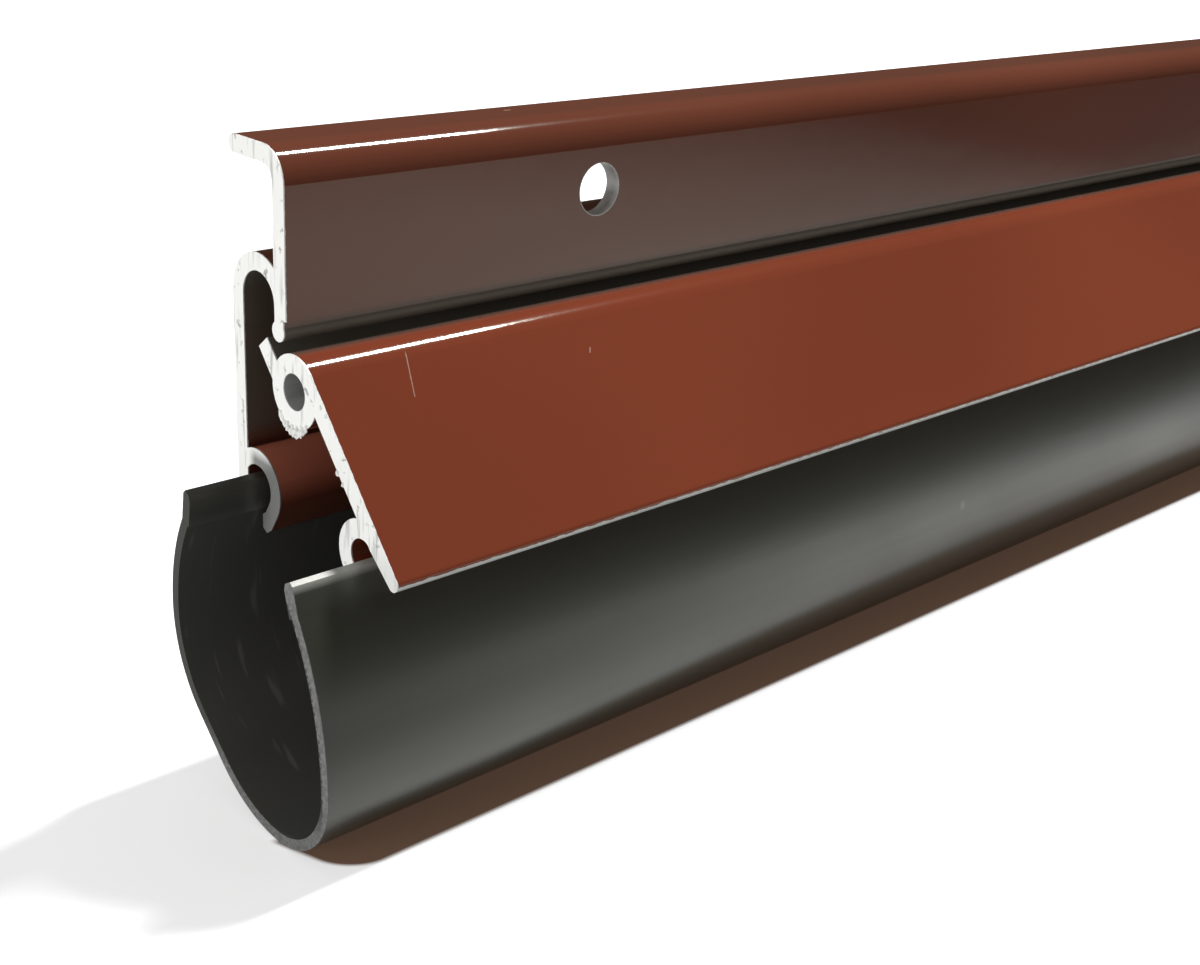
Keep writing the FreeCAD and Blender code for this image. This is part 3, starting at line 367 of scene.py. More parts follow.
def grain_group():
    """Fine even grain as a height, with a softer wave under it."""
    tree, given, result = new_group(
        "Grain",
        [("Vector", "NodeSocketVector", None), ("Fine", "NodeSocketFloat", 3000.0),
         ("Wave", "NodeSocketFloat", 250.0), ("Share", "NodeSocketFloat", 0.5)],
        [("Height", "NodeSocketFloat")],
    )
    fine = noise(tree, given.outputs["Vector"], given.outputs["Fine"], 3.0)
    wave = noise(tree, given.outputs["Vector"], given.outputs["Wave"], 1.0)
    tree.links.new(mix_value(tree, given.outputs["Share"], fine, wave), result.inputs[0])
    return tree


SHARED_GROUPS = {"Scratch": scratch_group, "Dust": dust_group, "Grain": grain_group}


def use_group(tree, name, sockets):
    """Places a shared group, built where it is first used, and gives its output."""
    group = bpy.data.node_groups.get(name) or SHARED_GROUPS[name]()
    return add_node(tree, "ShaderNodeGroup", sockets, node_tree=group).outputs[0]


def scratches(tree, place, marks):
    """The largest of several scratches; each is (place, along, length, width)."""
    found = 0.0
    for centre, along, length, width in marks:
        mask = use_group(tree, "Scratch", [
            ("Vector", place), ("Place", centre), ("Along", along),
            ("Length", length), ("Width", width),
        ])
        found = calc(tree, "MAXIMUM", mask, found)
    return found


def near_cut(tree, x, edge, low, high):
    """1 on and just beside the two cut ends."""
    at_low = calc(tree, "LESS_THAN", x, calc(tree, "ADD", edge, low))
    at_high = calc(tree, "GREATER_THAN", x, calc(tree, "SUBTRACT", high, edge))
    return calc(tree, "MAXIMUM", at_low, at_high)


def rgba(colour, factor=1.0):
    return [channel * factor for channel in colour] + [1.0]


def painted_aluminium(name, tone, find_bare, find_dark, marks, find_hook_light_and_shade=None):
    """Gloss paint over aluminium: white where it is sawn, bare in its holes, thin and dull in its grooves,
    with painted shade and painted light in its recesses and on the carrier's hook.
    """
    paint = bpy.context.scene.door_seal_paint
    material, tree, shader = new_material(name)
    place, x, y, z = object_place(tree)

    ragged = calc(tree, "MULTIPLY_ADD", noise(tree, place, 1800.0), paint.cut_edge, paint.cut_edge / 2)
    sawn = near_cut(tree, x, ragged, NEAR_END, FAR_END)
    bare = find_bare(tree, place, x, y, z)

    cloud = ramp(tree, noise(tree, place, 18.0, 1.0), 0.35, 0.65)
    coat = mix_colour(tree, cloud, rgba(tone, 0.93), rgba(tone, 1.07))
    # Recesses turn a dull grey: thin paint and painted light deep in the carrier, painted shade at the hinge
    # and behind the flap.
    dull = find_dark(tree, y, z)
    coat = mix_colour(tree, dull, coat, rgba(paint.groove_and_shade))
    # Painted shade on the hook's sawn end and painted light on its top.
    hook_shade, hook_light = find_hook_light_and_shade(tree, y, z) if find_hook_light_and_shade else (0.0, 0.0)
    coat = mix_colour(tree, hook_light, coat, HOOK_PAINTED_LIGHT)
    worn = scratches(tree, place, marks)
    dust = use_group(tree, "Dust", [
        ("Vector", place), ("Scale", 130.0), ("Amount", 0.05),
    ])
    worn = calc(tree, "MAXIMUM", worn, calc(tree, "MULTIPLY", dust, 0.35))
    coat = mix_colour(tree, worn, coat, WORN_PAINT)
    drawn = noise(tree, stretch(tree, place, (0.05, 1.0, 1.0)), 1600.0, 2.0)
    metal = mix_colour(tree, drawn, rgba(paint.bare_metal, 0.45), rgba(paint.bare_metal, 0.75))
    colour = mix_colour(tree, bare, coat, metal)

    stroke = noise(tree, stretch(tree, place, (1.0, 1.0, 0.1)), 1500.0, 3.0)
    burr = noise(tree, place, 900.0, 4.0)
    stripes = ramp(tree, stroke, 0.56, 0.68)
    blank = mix_colour(tree, stripes, rgba(paint.bare_metal), rgba(paint.bare_metal, 0.6))
    blank = mix_colour(tree, ramp(tree, burr, 0.62, 0.7), blank, rgba(paint.bare_metal, 0.42))
    # Painted shade: the hook's sawn end turns a darker grey.
    blank = mix_colour(tree, hook_shade, blank, rgba(paint.bare_metal, 0.22))
    tree.links.new(mix_colour(tree, sawn, colour, blank), shader.inputs["Base Color"])
    tree.links.new(mix_value(tree, sawn, calc(tree, "MULTIPLY", bare, 0.35), 0.1), shader.inputs["Metallic"])
    shader.inputs["Specular Tint"].default_value = (0.94, 1.0, 0.88, 1.0)
    gloss = mix_value(tree, calc(tree, "MAXIMUM", worn, dull), paint.roughness, 0.5)
    gloss = mix_value(tree, calc(tree, "MAXIMUM", bare, sawn), gloss, 0.45)
    tree.links.new(gloss, shader.inputs["Roughness"])
    peel = use_group(tree, "Grain", [
        ("Vector", place), ("Fine", 1500.0), ("Wave", 220.0), ("Share", 0.8),
    ])
    rough = calc(tree, "ADD", stroke, burr)
    tree.links.new(bump(tree, mix_value(tree, sawn, peel, rough), 0.3, 0.00005), shader.inputs["Normal"])
    return material


def drilled_holes(tree, place, x, y, z):
    """1 on the walls of the fixing holes, whose row is centred on the origin."""
    found = 0.0
    for hole in HOLE_ROW:
        found = calc(tree, "MAXIMUM", found, circle(tree, x, z, (hole, 0.0), HOLE_WALL))
    return found


def carrier_groove_and_shade(tree, y, z):
    """1 deep between the plate and the back leg, where little paint reaches and the grey is partly painted
    light; and round the hinge bead, as painted shade.
    """
    deep = overlap(
        tree, band(tree, y, 0.0012, 0.002, 0.0065, 0.0071), band(tree, z, -0.0205, -0.0185, -0.0035, -0.0025),
    )
    # Painted shade round the hinge bead, at the plate's lower edge.
    bead_shade = band(tree, z, HINGE.z - 0.0015, HINGE.z - 0.0012, HINGE.z + 0.0003, HINGE.z + 0.0009)
    return calc(tree, "MAXIMUM", deep, overlap(tree, bead_shade, ramp(tree, y, 0.003, 0.0025)))


def carrier_hook_light_and_shade(tree, y, z):
    """1 on the hook's sawn end, darkened as painted shade, and 1 on its top, whose paler coat is painted
    light.
    """
    inside = ramp(tree, y, 0.0064, 0.0054)
    hook_shade = overlap(tree, ramp(tree, z, -0.0202, -0.0213), inside)
    return hook_shade, overlap(tree, band(tree, z, -0.0245, -0.0222, -0.0202, -0.0195), inside)


def flap_bare(tree, place, x, y, z):
    """1 in the screw port, and along the lower edge where the paint is rubbed through."""
    up = vector_calc(tree, "DOT_PRODUCT", place, tuple(FLAP_UP), output=1)
    level = calc(tree, "SUBTRACT", up, HINGE.dot(FLAP_UP))
    ragged = calc(tree, "MULTIPLY_ADD", noise(tree, place, 900.0, 3.0), 0.0003, -0.02425)
    rubbed = calc(tree, "LESS_THAN", level, ragged)
    port = circle(tree, y, z, (SCREW_PORT.y, SCREW_PORT.z), PORT_WALL)
    return calc(tree, "MAXIMUM", rubbed, port)


def flap_painted_shade(tree, y, z):
    """1 behind the flap, towards the seal, and in the gap at the hinge: painted shade in both."""
    behind = overlap(tree, ramp(tree, y, -0.0042, -0.0026), ramp(tree, z, -0.0165, -0.0175))
    gap = ramp(tree, calc(tree, "MULTIPLY_ADD", z, 0.35, y), -0.0052, -0.0036)
    return calc(tree, "MAXIMUM", behind, overlap(tree, gap, ramp(tree, z, -0.0125, -0.0112)))


# Mesh tools.

def spot(y, z):
    """A place in the cross-section."""
    return Vector((0.0, y, z))


def select_none():
    if bpy.context.object and bpy.context.object.mode == "EDIT":
        bpy.ops.object.mode_set(mode="OBJECT")
    bpy.ops.object.select_all(action="DESELECT")


def open_mesh(obj):
    """The mesh in edit mode, with nothing selected."""
    bpy.ops.object.mode_set(mode="EDIT")
    bpy.ops.mesh.select_all(action="DESELECT")
    return bmesh.from_edit_mesh(obj.data)


def finish_mesh(obj, material, angle=40.0):
    bpy.ops.object.mode_set(mode="OBJECT")
    select_none()
    obj.select_set(True)
    bpy.context.view_layer.objects.active = obj
    bpy.ops.object.transform_apply(location=True, rotation=True, scale=True)
    bpy.ops.object.shade_smooth_by_angle(angle=math.radians(angle))
    obj.data.materials.clear()
    obj.data.materials.append(material)
    obj.select_set(False)


def apply_modifier(obj, kind, name, **settings):
    modifier = obj.modifiers.new(name, kind)
    for key, value in settings.items():
        setattr(modifier, key, value)
    bpy.context.view_layer.objects.active = obj
    bpy.ops.object.modifier_apply(modifier=modifier.name)


def assign(node, material):
    mesh = frame["nodes"][node].data
    mesh.materials.clear()
    mesh.materials.append(material)


class DOORSEAL_OT_paint(bpy.types.Operator):
    """Paint the carrier and the flap, bare at their cut ends"""

    bl_idname = "door_seal.paint"
    bl_label = "Painted profiles"

    def execute(self, context):
        flap_marks = [
            ((-0.3706, -0.00464, -0.01229), (-0.22, -0.62, -0.75), 0.0043, 0.0001),
            ((-0.32905, -0.00252, -0.00979), (0.9, 0.3, 0.3), 0.0009, 0.00016),
            ((-0.35044, -0.00566, -0.0135), (0.5, 0.5, 0.7), 0.0005, 0.00013),
        ]
        carrier_marks = [
            ((-0.3344, -0.0004, 0.0066), (0.1, 0.7, 0.7), 0.0014, 0.00013),
            ((-0.3518, 0.0059, 0.007), (1.0, 0.0, 0.0), 0.0006, 0.00022),
        ]
        paint = context.scene.door_seal_paint
        assign("base_profile", painted_aluminium(
            "Painted carrier", paint.carrier_colour, drilled_holes, carrier_groove_and_shade, carrier_marks,
            carrier_hook_light_and_shade,
        ))
        assign("swing_profile", painted_aluminium(
            "Painted flap", paint.flap_colour, flap_bare, flap_painted_shade, flap_marks,
        ))
        return {"FINISHED"}


def plain_finish(name, colour, metallic, roughness, grain, strength, streaks=None):
    """A plastic or metal with its own fine grain, and streaks along it where it was turned."""
    material, tree, shader = new_material(name)
    place = object_place(tree)[0]
    vector = place if streaks is None else stretch(tree, place, streaks)
    height = use_group(tree, "Grain", [
        ("Vector", vector), ("Fine", grain), ("Wave", grain / 8), ("Share", 0.4),
    ])
    shade = ramp(tree, noise(tree, vector, grain / 3, 2.0), 0.3, 0.7)
    tree.links.new(mix_colour(tree, shade, rgba(colour, 0.82), rgba(colour)), shader.inputs["Base Color"])
    shader.inputs["Metallic"].default_value = metallic
    tree.links.new(mix_value(tree, shade, roughness * 1.2, roughness), shader.inputs["Roughness"])
    tree.links.new(bump(tree, height, strength, 0.00004), shader.inputs["Normal"])
    return material


class DOORSEAL_OT_hardware(bpy.types.Operator):
    """Finish the clips, the end housing and the plunger's parts"""

    bl_idname = "door_seal.hardware"
    bl_label = "Clips, housing and plunger"

    def execute(self, context):
        nylon = plain_finish("Black nylon", (0.022, 0.022, 0.023), 0.0, 0.45, 2600.0, 0.5)
        white = plain_finish("White acetal", (0.78, 0.77, 0.72), 0.0, 0.35, 1500.0, 0.2)
        zinc = plain_finish("Zinc plate", (0.62, 0.63, 0.6), 1.0, 0.32, 2200.0, 0.3)
        bright = plain_finish("Bright steel", (0.55, 0.55, 0.56), 1.0, 0.22, 2500.0, 0.2, (0.1, 1.0, 1.0))
        brass = plain_finish("Turned brass", (0.72, 0.5, 0.2), 1.0, 0.26, 2500.0, 0.3, (1.0, 0.1, 0.1))
        for clip in range(1, 5):
            assign("hinge_clip_%d" % clip, nylon)
        assign("end_housing", nylon)
        assign("cam_sleeve", white)
        assign("plunger_button", white)
        assign("rod_bush", brass)
        for node in ("plunger_rod", "cross_pin"):
            assign(node, bright)
        self.coil(bright)
        for node in ("housing_screws", "crank_plate", "crank_screw", "spring_washer", "lock_nut"):
            assign(node, zinc)
        return {"FINISHED"}

    def coil(self, material):
        """The plunger's spring as a round wire; it rides on the plunger."""
        low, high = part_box("plunger_spring")
        wire, turns = 0.0003, 5
        mean = (high.z - low.z) / 2 - wire
        select_none()
        bpy.ops.mesh.primitive_circle_add(
            vertices=10, radius=wire, location=(0.0, 0.0, mean), rotation=(math.pi / 2, 0.0, 0.0),
        )
        spring = bpy.context.object
        spring.name = "coil_spring"
        bpy.ops.object.transform_apply(location=True, rotation=True, scale=True)
        apply_modifier(
            spring, "SCREW", "Coil", axis="X", screw_offset=(high.x - low.x - 2 * wire) / turns,
            iterations=turns, steps=28, render_steps=28,
        )
        open_mesh(spring)
        bpy.ops.mesh.select_all(action="SELECT")
        bpy.ops.mesh.fill_holes(sides=12)
        bpy.ops.mesh.select_all(action="SELECT")
        bpy.ops.mesh.normals_make_consistent(inside=False)
        bpy.ops.transform.translate(value=(low.x + wire, HINGE.y, HINGE.z))
        finish_mesh(spring, material)
        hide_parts("plunger_spring")
        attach(spring, "plunger")
        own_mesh(spring)


class DOORSEAL_OT_burrs(bpy.types.Operator):
    """Leave the saw's burrs hanging on the flap's near end"""

    bl_idname = "door_seal.burrs"
    bl_label = "Saw burrs"

    def execute(self, context):
        round_boss = (
            (-50, 0.00335, 0.0003), (-58, 0.00345, 0.00034), (-65, 0.0036, 0.0003), (-72, 0.0035, 0.00044),
            (-79, 0.0038, 0.0003), (-84, 0.00355, 0.00046), (-91, 0.0037, 0.00036), (-97, 0.0035, 0.00042),
            (-104, 0.0036, 0.0003), (-112, 0.0034, 0.00034), (-121, 0.00335, 0.00026),
        )
        burrs = [(-0.005, -0.0134, 0.00022), (-0.0074, -0.0184, 0.00028), (-0.0081, -0.0192, 0.00022)]
        for degrees, reach, size in round_boss:
            turn = math.radians(degrees)
            y = SCREW_PORT.y + math.cos(turn) * reach
            z = SCREW_PORT.z + math.sin(turn) * reach
            burrs.append((y, z, size))
        flakes = []
        for number, (y, z, size) in enumerate(burrs):
            select_none()
            bpy.ops.mesh.primitive_ico_sphere_add(
                subdivisions=2, radius=size, location=(NEAR_END + size * 0.1, y, z),
                rotation=(number * 0.7, 0.0, 0.0),
            )
            flake = bpy.context.object
            bpy.ops.object.transform_apply(location=True, rotation=True, scale=True)
            open_mesh(flake)
            bpy.ops.mesh.select_all(action="SELECT")
            bpy.ops.transform.resize(value=(0.5, 0.8, 1.3), center_override=(NEAR_END, y, z))
            bpy.ops.transform.vertex_random(offset=size * 0.5, seed=number)
            bpy.ops.object.mode_set(mode="OBJECT")
            flakes.append(flake)
        select_none()
        for flake in flakes:
            flake.select_set(True)
        bpy.context.view_layer.objects.active = flakes[0]
        bpy.ops.object.join()
        joined = bpy.context.object
        joined.name = "saw_burrs"
        apply_modifier(joined, "REMESH", "Fuse", mode="VOXEL", voxel_size=0.00007)
        open_mesh(joined)
        bpy.ops.mesh.select_all(action="SELECT")
        bpy.ops.mesh.normals_make_consistent(inside=False)
        metal = context.scene.door_seal_paint.bare_metal
        finish_mesh(joined, plain_finish("Torn aluminium", metal, 0.25, 0.45, 2600.0, 0.5), 30.0)
        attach(joined, "flap")
        return {"FINISHED"}


# Rubber seal.

def rubber_material(face_centre):
    """Satin charcoal rubber with faint marks along it, grey where it was cut, with a painted brown reflection
    low down, painted light inside and a painted highlight on the front bead's top; it reads the places at
    rest.
    """
    rubber = bpy.context.scene.door_seal_rubber
    material, tree, shader = new_material("Seal rubber")
    place = add_node(tree, "ShaderNodeAttribute", attribute_name=REST_PLACE).outputs["Vector"]
    split = add_node(tree, "ShaderNodeSeparateXYZ", [(0, place)])
    x, y, z = split.outputs[0], split.outputs[1], split.outputs[2]
    edge = calc(tree, "MULTIPLY", noise(tree, place, 1500.0), 0.00012)
    cut = near_cut(tree, x, edge, NEAR_END - rubber.overhang, FAR_END + rubber.overhang)
    drawn = noise(tree, stretch(tree, place, (0.02, 1.0, 1.0)), 900.0, 2.0)
    cloud = noise(tree, place, 45.0, 2.0)
    tone = calc(tree, "ADD", calc(tree, "MULTIPLY", drawn, 0.35), calc(tree, "MULTIPLY", cloud, 0.65))
    colour = mix_colour(
        tree, ramp(tree, tone, 0.35, 0.65), rgba(rubber.colour, 0.85), rgba(rubber.colour, 1.2),
    )
    # Painted reflection: the seal turns brown low down, with a wavy edge.
    low = ramp(tree, calc(tree, "MULTIPLY_ADD", cloud, 0.006, z), -0.0425, -0.0475)
    colour = mix_colour(tree, low, colour, rgba(rubber.low_reflection_colour))
    facing = add_node(tree, "ShaderNodeTexCoord").outputs["Normal"]
    middle = vector_calc(tree, "MULTIPLY_ADD", place, (0.0, -1.0, -1.0), (0.0, -0.005, -0.037))
    # Painted light on the seal's inner side, weaker at its top, with brighter scuffs close to the near cut.
    inner = calc(tree, "GREATER_THAN", vector_calc(tree, "DOT_PRODUCT", facing, middle, output=1), 0.0)
    inner = overlap(tree, inner, mix_value(tree, ramp(tree, z, -0.025, -0.0258), 0.6, 1.0))
    scuff = ramp(tree, noise(tree, stretch(tree, place, (1.0, 0.12, 0.12)), 1100.0, 2.0), 0.62, 0.7)
    scuff = overlap(tree, scuff, ramp(tree, x, NEAR_END + 0.03, NEAR_END))
    painted_light_and_scuffs = mix_colour(tree, scuff, rgba(rubber.inner_light_colour), rgba(rubber.inner_light_colour, 1.7))
    colour = mix_colour(tree, inner, colour, painted_light_and_scuffs)
    # Painted highlight along the top edge of the front bead.
    brim_highlight = overlap(tree, ramp(tree, z, -0.0259, -0.0252), ramp(tree, y, -0.006, -0.008))
    colour = mix_colour(tree, brim_highlight, colour, BRIM_PAINTED_HIGHLIGHT)
    worn = scratches(tree, place, [
        ((-0.3837, -0.0118, -0.0274), (0.8, 0.0, 0.5), 0.0007, 0.00016),
        ((-0.3806, -0.0155, -0.0377), (0.6, 0.0, 0.8), 0.0007, 0.00014),
    ])
    dust = use_group(tree, "Dust", [
        ("Vector", place), ("Scale", 160.0), ("Amount", 0.06),
    ])
    worn = calc(tree, "MAXIMUM", worn, calc(tree, "MULTIPLY", dust, 0.25))
    colour = mix_colour(tree, worn, colour, RUBBED_RUBBER)
    speck = noise(tree, place, 2200.0, 3.0)
    sawn = mix_colour(
        tree, ramp(tree, speck, 0.4, 0.62), rgba(rubber.cut_colour, 0.75), rgba(rubber.cut_colour, 1.15),
    )
    across = vector_calc(tree, "MULTIPLY", place, (0.0, 1.0, 1.0))
    reach = vector_calc(tree, "DISTANCE", across, tuple(face_centre), output=1)
    depth = calc(tree, "SUBTRACT", reach, FACE_RADIUS - rubber.wall)
    ragged = ramp(tree, noise(tree, place, 3200.0, 3.0), 0.45, 0.75)
    tear = calc(tree, "MULTIPLY_ADD", ragged, 0.0005, 0.00004)
    torn = overlap(tree, calc(tree, "LESS_THAN", depth, tear), ramp(tree, z, -0.0475, -0.044))
    sawn = mix_colour(tree, torn, sawn, rgba(rubber.inner_light_colour, 0.4))
    tree.links.new(mix_colour(tree, cut, colour, sawn), shader.inputs["Base Color"])
    matt = mix_value(tree, ramp(tree, tone, 0.3, 0.7), 0.38, 0.3)
    tree.links.new(mix_value(tree, cut, matt, 0.8), shader.inputs["Roughness"])
    shader.inputs["IOR"].default_value = 1.8
    shader.inputs["Specular Tint"].default_value = (0.99, 1.0, 0.93, 1.0)
    grain = use_group(tree, "Grain", [
        ("Vector", place), ("Fine", 2600.0), ("Wave", 500.0), ("Share", 0.35),
    ])
    height = calc(tree, "ADD", grain, calc(tree, "MULTIPLY", drawn, 0.4))
    tree.links.new(bump(tree, height, 0.35, 0.00003), shader.inputs["Normal"])
    return material


def extrude(y, z, pieces=1):
    for _ in range(pieces):
        bpy.ops.mesh.extrude_region_move(TRANSFORM_OT_translate={"value": (0.0, y / pieces, z / pieces)})


def spin(centre, degrees, steps):
    """Turn the open edge about a line along the seal; seen from the near end the turn is clockwise."""
    bpy.ops.mesh.spin(steps=steps, angle=math.radians(degrees), center=centre, axis=(1.0, 0.0, 0.0))


def bead(seal, foot, outside, lean, length, spread):
    """Grow the rim at the foot into a bead, flush outside: a small step, a leaning bar and an eased top."""
    mesh = open_mesh(seal)
    for face in mesh.faces:
        middle = face.calc_center_median()
        if (spot(middle.y, middle.z) - foot).length < 0.00045 and abs(face.normal.x) < 0.5:
            face.select_set(True)
    mesh.select_flush(True)
    bmesh.update_edit_mesh(seal.data)
    way = spot(math.sin(lean), math.cos(lean)) * length
    top = outside + (foot - outside) * spread + way
    extrude(0.0, 0.0)
    bpy.ops.transform.resize(value=(1.0, spread, spread), center_override=outside)
    extrude(way.y * 0.85, way.z * 0.85)
    extrude(way.y * 0.15, way.z * 0.15)
    bpy.ops.transform.resize(value=(1.0, 0.55, 0.55), center_override=top)


class DOORSEAL_OT_membrane(bpy.types.Operator):
    """Build the rubber half-tube and hang it in both hooks"""

    bl_idname = "door_seal.membrane"
    bl_label = "Rubber seal"

    def execute(self, context):
        rubber = context.scene.door_seal_rubber
        low, high = NEAR_END - rubber.overhang, FAR_END + rubber.overhang
        belly = spot(DOOR_FACE - 0.00015, -0.0345)
        upper_back = belly - spot(BACK_RADIUS, 0.0)
        lower_back = belly - spot(LOWER_RADIUS, 0.0)
        lowest = spot(-0.0085, -0.0508)
        bottom = lowest + spot(0.0, LOWER_RADIUS)
        front_foot = lowest + spot(0.0, FOOT_RADIUS)
        front_face = front_foot + spot(FACE_RADIUS - FOOT_RADIUS, 0.0)
        back_turn = math.asin((-0.02529 - belly.z) / BACK_RADIUS)
        face_turn = math.asin((-0.02764 - front_face.z) / FACE_RADIUS)
        slope = bottom - lower_back
        fall = math.degrees(math.atan2(-slope.y, -slope.z))

        select_none()
        bpy.ops.mesh.primitive_plane_add(size=1.0)
        seal = bpy.context.object
        seal.name = "rubber_seal"
        mesh = open_mesh(seal)
        mesh.verts.ensure_lookup_table()
        mesh.verts[2].select_set(True)
        mesh.verts[3].select_set(True)
        bmesh.update_edit_mesh(seal.data)
        bpy.ops.mesh.delete(type="VERT")
        mesh = bmesh.from_edit_mesh(seal.data)
        back_way = spot(math.cos(back_turn), math.sin(back_turn))
        foot = upper_back + back_way * BACK_RADIUS
        for vertex, x in zip(mesh.verts, (low, high)):
            vertex.co = (x, foot.y, foot.z)
        bmesh.update_edit_mesh(seal.data)
        bpy.ops.mesh.select_all(action="SELECT")
        spin(upper_back, math.degrees(back_turn), 9)
        spin(lower_back, fall, 12)
        extrude(slope.y, slope.z, 3)
        spin(bottom, 90.0 - fall, 16)
        spin(front_foot, 90.0, 24)
        spin(front_face, math.degrees(face_turn), 36)
        bpy.ops.mesh.select_all(action="SELECT")
        bpy.ops.mesh.remove_doubles(threshold=0.00001)
        bpy.ops.mesh.normals_make_consistent(inside=False)
        bpy.ops.object.mode_set(mode="OBJECT")
        apply_modifier(seal, "SOLIDIFY", "Wall", thickness=rubber.wall, offset=-1.0, use_even_offset=True)

        face_way = spot(-math.cos(face_turn), math.sin(face_turn))
        for centre, way, radius, lean, spread in (
            (upper_back, back_way, BACK_RADIUS, -8.5, 1.2),
            (front_face, face_way, FACE_RADIUS, 16.0, 1.35),
        ):
            outside = centre + way * radius
            bead(seal, outside - way * rubber.wall / 2, outside, math.radians(lean), BEAD_LENGTH, spread)
        bpy.ops.mesh.select_all(action="SELECT")
        bpy.ops.mesh.remove_doubles(threshold=0.00001)
        bpy.ops.mesh.normals_make_consistent(inside=False)
        finish_mesh(seal, rubber_material(front_face), 35.0)
        places = seal.data.attributes.new(REST_PLACE, "FLOAT_VECTOR", "POINT")
        for vertex, place in zip(seal.data.vertices, places.data):
            place.vector = vertex.co
        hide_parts("seal_membrane")
        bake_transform(seal)
        return {"FINISHED"}


# Stage: floor, light and camera.

class DOORSEAL_OT_stage(bpy.types.Operator):
    """Set up the floor, the lamps and the camera"""

    bl_idname = "door_seal.stage"
    bl_label = "Studio"

    def execute(self, context):
        studio = context.scene.door_seal_studio
        select_none()
        floor_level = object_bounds()[0][2] - 0.0001
        bpy.ops.mesh.primitive_plane_add(size=12.0, location=(0.0, 0.0, floor_level))
        floor = bpy.context.object
        floor.name = "studio_floor"
        floor.data.materials.append(self.floor_material(studio))
        floor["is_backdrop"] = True

        lamps = [
            ("key_softbox", (0.406, 0.056, 1.147), (0.14, 0.2), studio.key_power),
            ("end_softbox", (-1.6, 0.05, 0.25), (0.5, 0.5), studio.end_power),
        ]
        for name, place, spread, power in lamps:
            bpy.ops.object.light_add(type="AREA", location=place)
            lamp = bpy.context.object
            lamp.name = name
            lamp.data.shape = "RECTANGLE"
            lamp.data.size, lamp.data.size_y = spread
            lamp.data.energy = power
            aim = Vector((NEAR_END, 0.0, 0.0)) - Vector(place)
            lamp.rotation_euler = aim.to_track_quat("-Z", "Y").to_euler()
            lamp.visible_glossy = name == "key_softbox"

        self.light_room(context.scene, studio)
        bpy.ops.object.camera_add(location=studio.camera_place, rotation=studio.camera_turn)
        camera = bpy.context.object
        camera.name = "photo_camera"
        camera.data.lens = studio.focal_length
        camera.data.sensor_width = 36.0
        camera.data.clip_start = 0.005
        context.scene.camera = camera
        context.scene.view_settings.view_transform = "Standard"
        return {"FINISHED"}

    def brown_strip(self, tree, x, y, glossy):
        """1 on the brown shadow along the seal's lowest line; gloss sees it wider, and its ends are round."""
        start, finish, rounding = -0.3905, 0.3985, 0.0035
        wider = calc(tree, "MULTIPLY_ADD", ramp(tree, x, -0.366, -0.28), 0.0105, 0.0009)
        front = calc(tree, "MULTIPLY_ADD", calc(tree, "MULTIPLY", wider, glossy), -1.0, -0.01645)
        slant = calc(tree, "MULTIPLY_ADD", y, 0.34, x)
        ahead = calc(tree, "SUBTRACT", calc(tree, "ADD", front, rounding), y)
        before = calc(tree, "SUBTRACT", start + rounding, slant)
        beyond = calc(tree, "SUBTRACT", x, finish - rounding)
        corner = 0.0
        for past in (ahead, calc(tree, "MAXIMUM", before, beyond)):
            past = calc(tree, "MAXIMUM", calc(tree, "DIVIDE", past, rounding), 0.0)
            corner = calc(tree, "MULTIPLY_ADD", past, past, corner)
        return overlap(tree, ramp(tree, corner, 1.1, 0.8), ramp(tree, y, -0.0079, -0.0088))

    def gloss_share(self, tree, x, y):
        """How much of the floor gloss sees: less of it far off, deep in front and at the near end."""
        far = overlap(tree, ramp(tree, x, -0.22, -0.03), ramp(tree, y, -0.05, -0.1))
        early = overlap(tree, band(tree, y, -0.13, -0.1, -0.045, -0.028), ramp(tree, x, -0.26, -0.37))
        return overlap(
            tree, mix_value(tree, far, 1.0, 0.1), mix_value(tree, ramp(tree, y, -0.16, -0.34), 1.0, 0.15),
            calc(tree, "MULTIPLY_ADD", early, -0.8, 1.0),
        )

    def floor_material(self, studio):
        """A white sheet with a brown shadow under the seal; it fades from what gloss and bounce see of it."""
        material, tree, shader = new_material("Studio floor")
        place, x, y, z = object_place(tree)
        path = add_node(tree, "ShaderNodeLightPath")
        glossy, camera = path.outputs["Is Glossy Ray"], path.outputs["Is Camera Ray"]
        seen = calc(tree, "MAXIMUM", camera, path.outputs["Is Transmission Ray"])
        shade = self.brown_strip(tree, x, y, glossy)
        share = mix_value(tree, glossy, studio.floor_bounce, self.gloss_share(tree, x, y))
        share = mix_value(tree, camera, share, 1.0)
        white = mix_colour(tree, share, BLACK, rgba(studio.floor_colour))
        sheet = mix_colour(tree, shade, white, rgba(studio.shadow_colour))
        tree.links.new(sheet, shader.inputs["Base Color"])
        shader.inputs["Roughness"].default_value = 0.9
        shader.inputs["Specular IOR Level"].default_value = 0.1
        tint = mix_colour(tree, shade, WHITE, rgba(studio.shadow_colour))
        tree.links.new(tint, shader.inputs["Emission Color"])

        near = overlap(tree, ramp(tree, y, -0.14, -0.045), ramp(tree, x, -0.39, -0.27))
        sheen = calc(tree, "MULTIPLY", glossy, calc(tree, "MAXIMUM", shade, near))
        distance = vector_calc(tree, "LENGTH", place, output=1)
        clear = mix_value(tree, ramp(tree, distance, 0.7, 1.8), studio.floor_glow, 1.0)
        glow = calc(tree, "MULTIPLY", sheen, studio.floor_glow)
        glow = calc(tree, "MAXIMUM", glow, calc(tree, "MULTIPLY", seen, clear))
        tree.links.new(glow, shader.inputs["Emission Strength"])
        return material

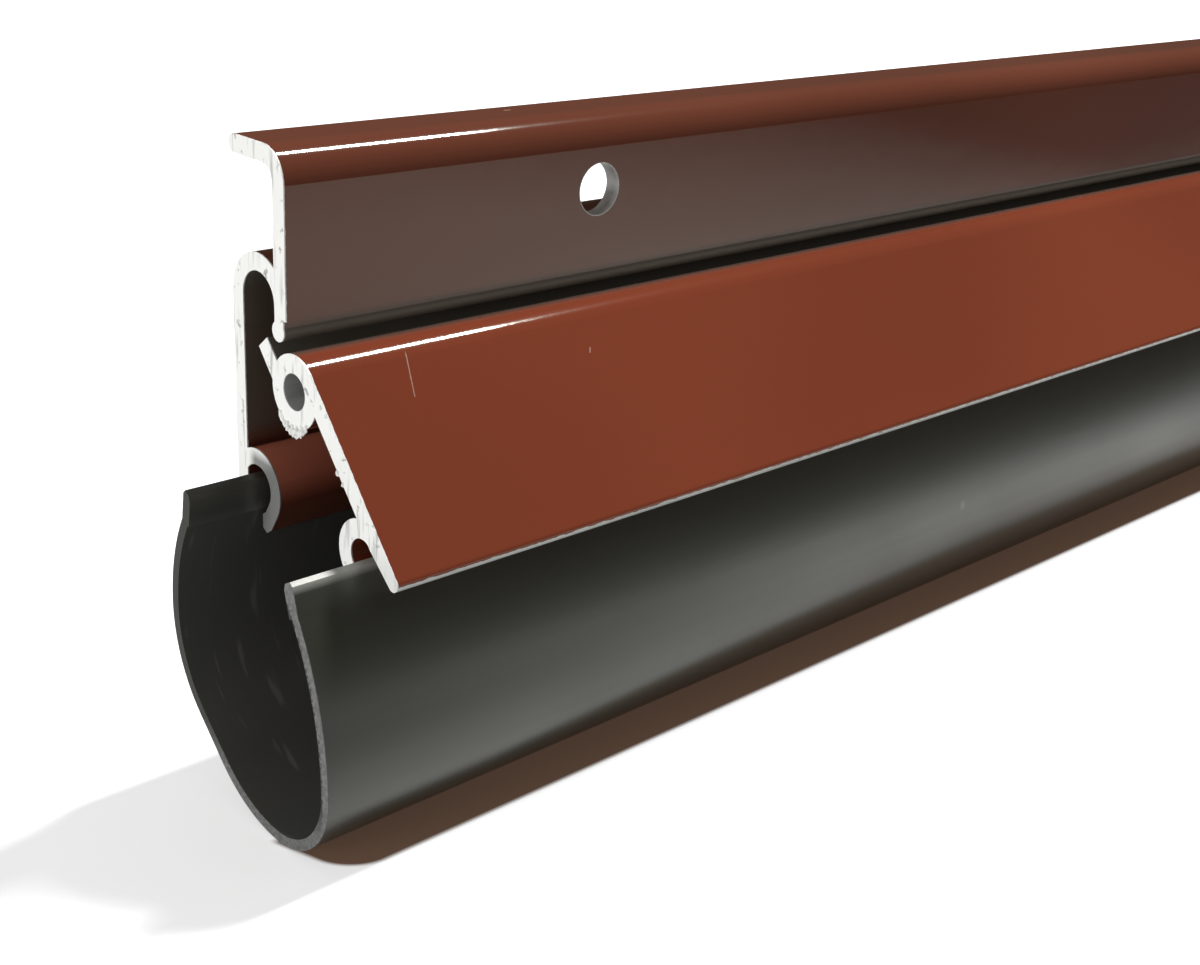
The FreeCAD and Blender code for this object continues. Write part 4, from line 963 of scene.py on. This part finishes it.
    def light_room(self, scene, studio):
        """White where the camera looks; dark round the object, so that its gloss shows only the floor."""
        world = bpy.data.worlds.new("Studio room")
        world.use_nodes = True
        scene.world = world
        tree = world.node_tree
        background = tree.nodes["Background"]
        path = add_node(tree, "ShaderNodeLightPath")
        seen = calc(tree, "MAXIMUM", path.outputs["Is Camera Ray"], path.outputs["Is Transmission Ray"])
        light = mix_value(tree, path.outputs["Is Glossy Ray"], studio.sky_light, 0.06)
        tree.links.new(mix_value(tree, seen, light, 1.0), background.inputs["Strength"])
        warm = mix_colour(tree, path.outputs["Is Glossy Ray"], WHITE, WARM_ROOM)
        tree.links.new(mix_colour(tree, seen, warm, WHITE), background.inputs["Color"])


STEPS = (DOORSEAL_OT_stage, DOORSEAL_OT_paint, DOORSEAL_OT_hardware, DOORSEAL_OT_burrs, DOORSEAL_OT_membrane)


class DOORSEAL_PT_panel(bpy.types.Panel):
    """Lists the steps that dress the door bottom seal"""

    bl_idname = "DOORSEAL_PT_panel"
    bl_label = "Door bottom seal"
    bl_space_type = "VIEW_3D"
    bl_region_type = "UI"
    bl_category = "Door seal"

    def draw(self, context):
        layout = self.layout
        for step in STEPS:
            layout.operator(step.bl_idname)
        for group in ("door_seal_studio", "door_seal_paint", "door_seal_rubber"):
            settings = getattr(context.scene, group)
            box = layout.box()
            for name in settings.bl_rna.properties.keys():
                if name not in ("rna_type", "name"):
                    box.prop(settings, name)


GROUPS = (
    ("door_seal_studio", DoorSealStudio),
    ("door_seal_paint", DoorSealPaint),
    ("door_seal_rubber", DoorSealRubber),
)


def register():
    for name, group in GROUPS:
        bpy.utils.register_class(group)
        setattr(bpy.types.Scene, name, bpy.props.PointerProperty(type=group))
    for step in STEPS:
        bpy.utils.register_class(step)
    bpy.utils.register_class(DOORSEAL_PT_panel)


def unregister():
    bpy.utils.unregister_class(DOORSEAL_PT_panel)
    for step in reversed(STEPS):
        bpy.utils.unregister_class(step)
    for name, group in reversed(GROUPS):
        delattr(bpy.types.Scene, name)
        bpy.utils.unregister_class(group)


def main():
    register()
    bpy.ops.door_seal.stage()
    bpy.ops.door_seal.paint()
    bpy.ops.door_seal.hardware()
    bpy.ops.door_seal.burrs()
    bpy.ops.door_seal.membrane()


if __name__ == "__main__":
    main()
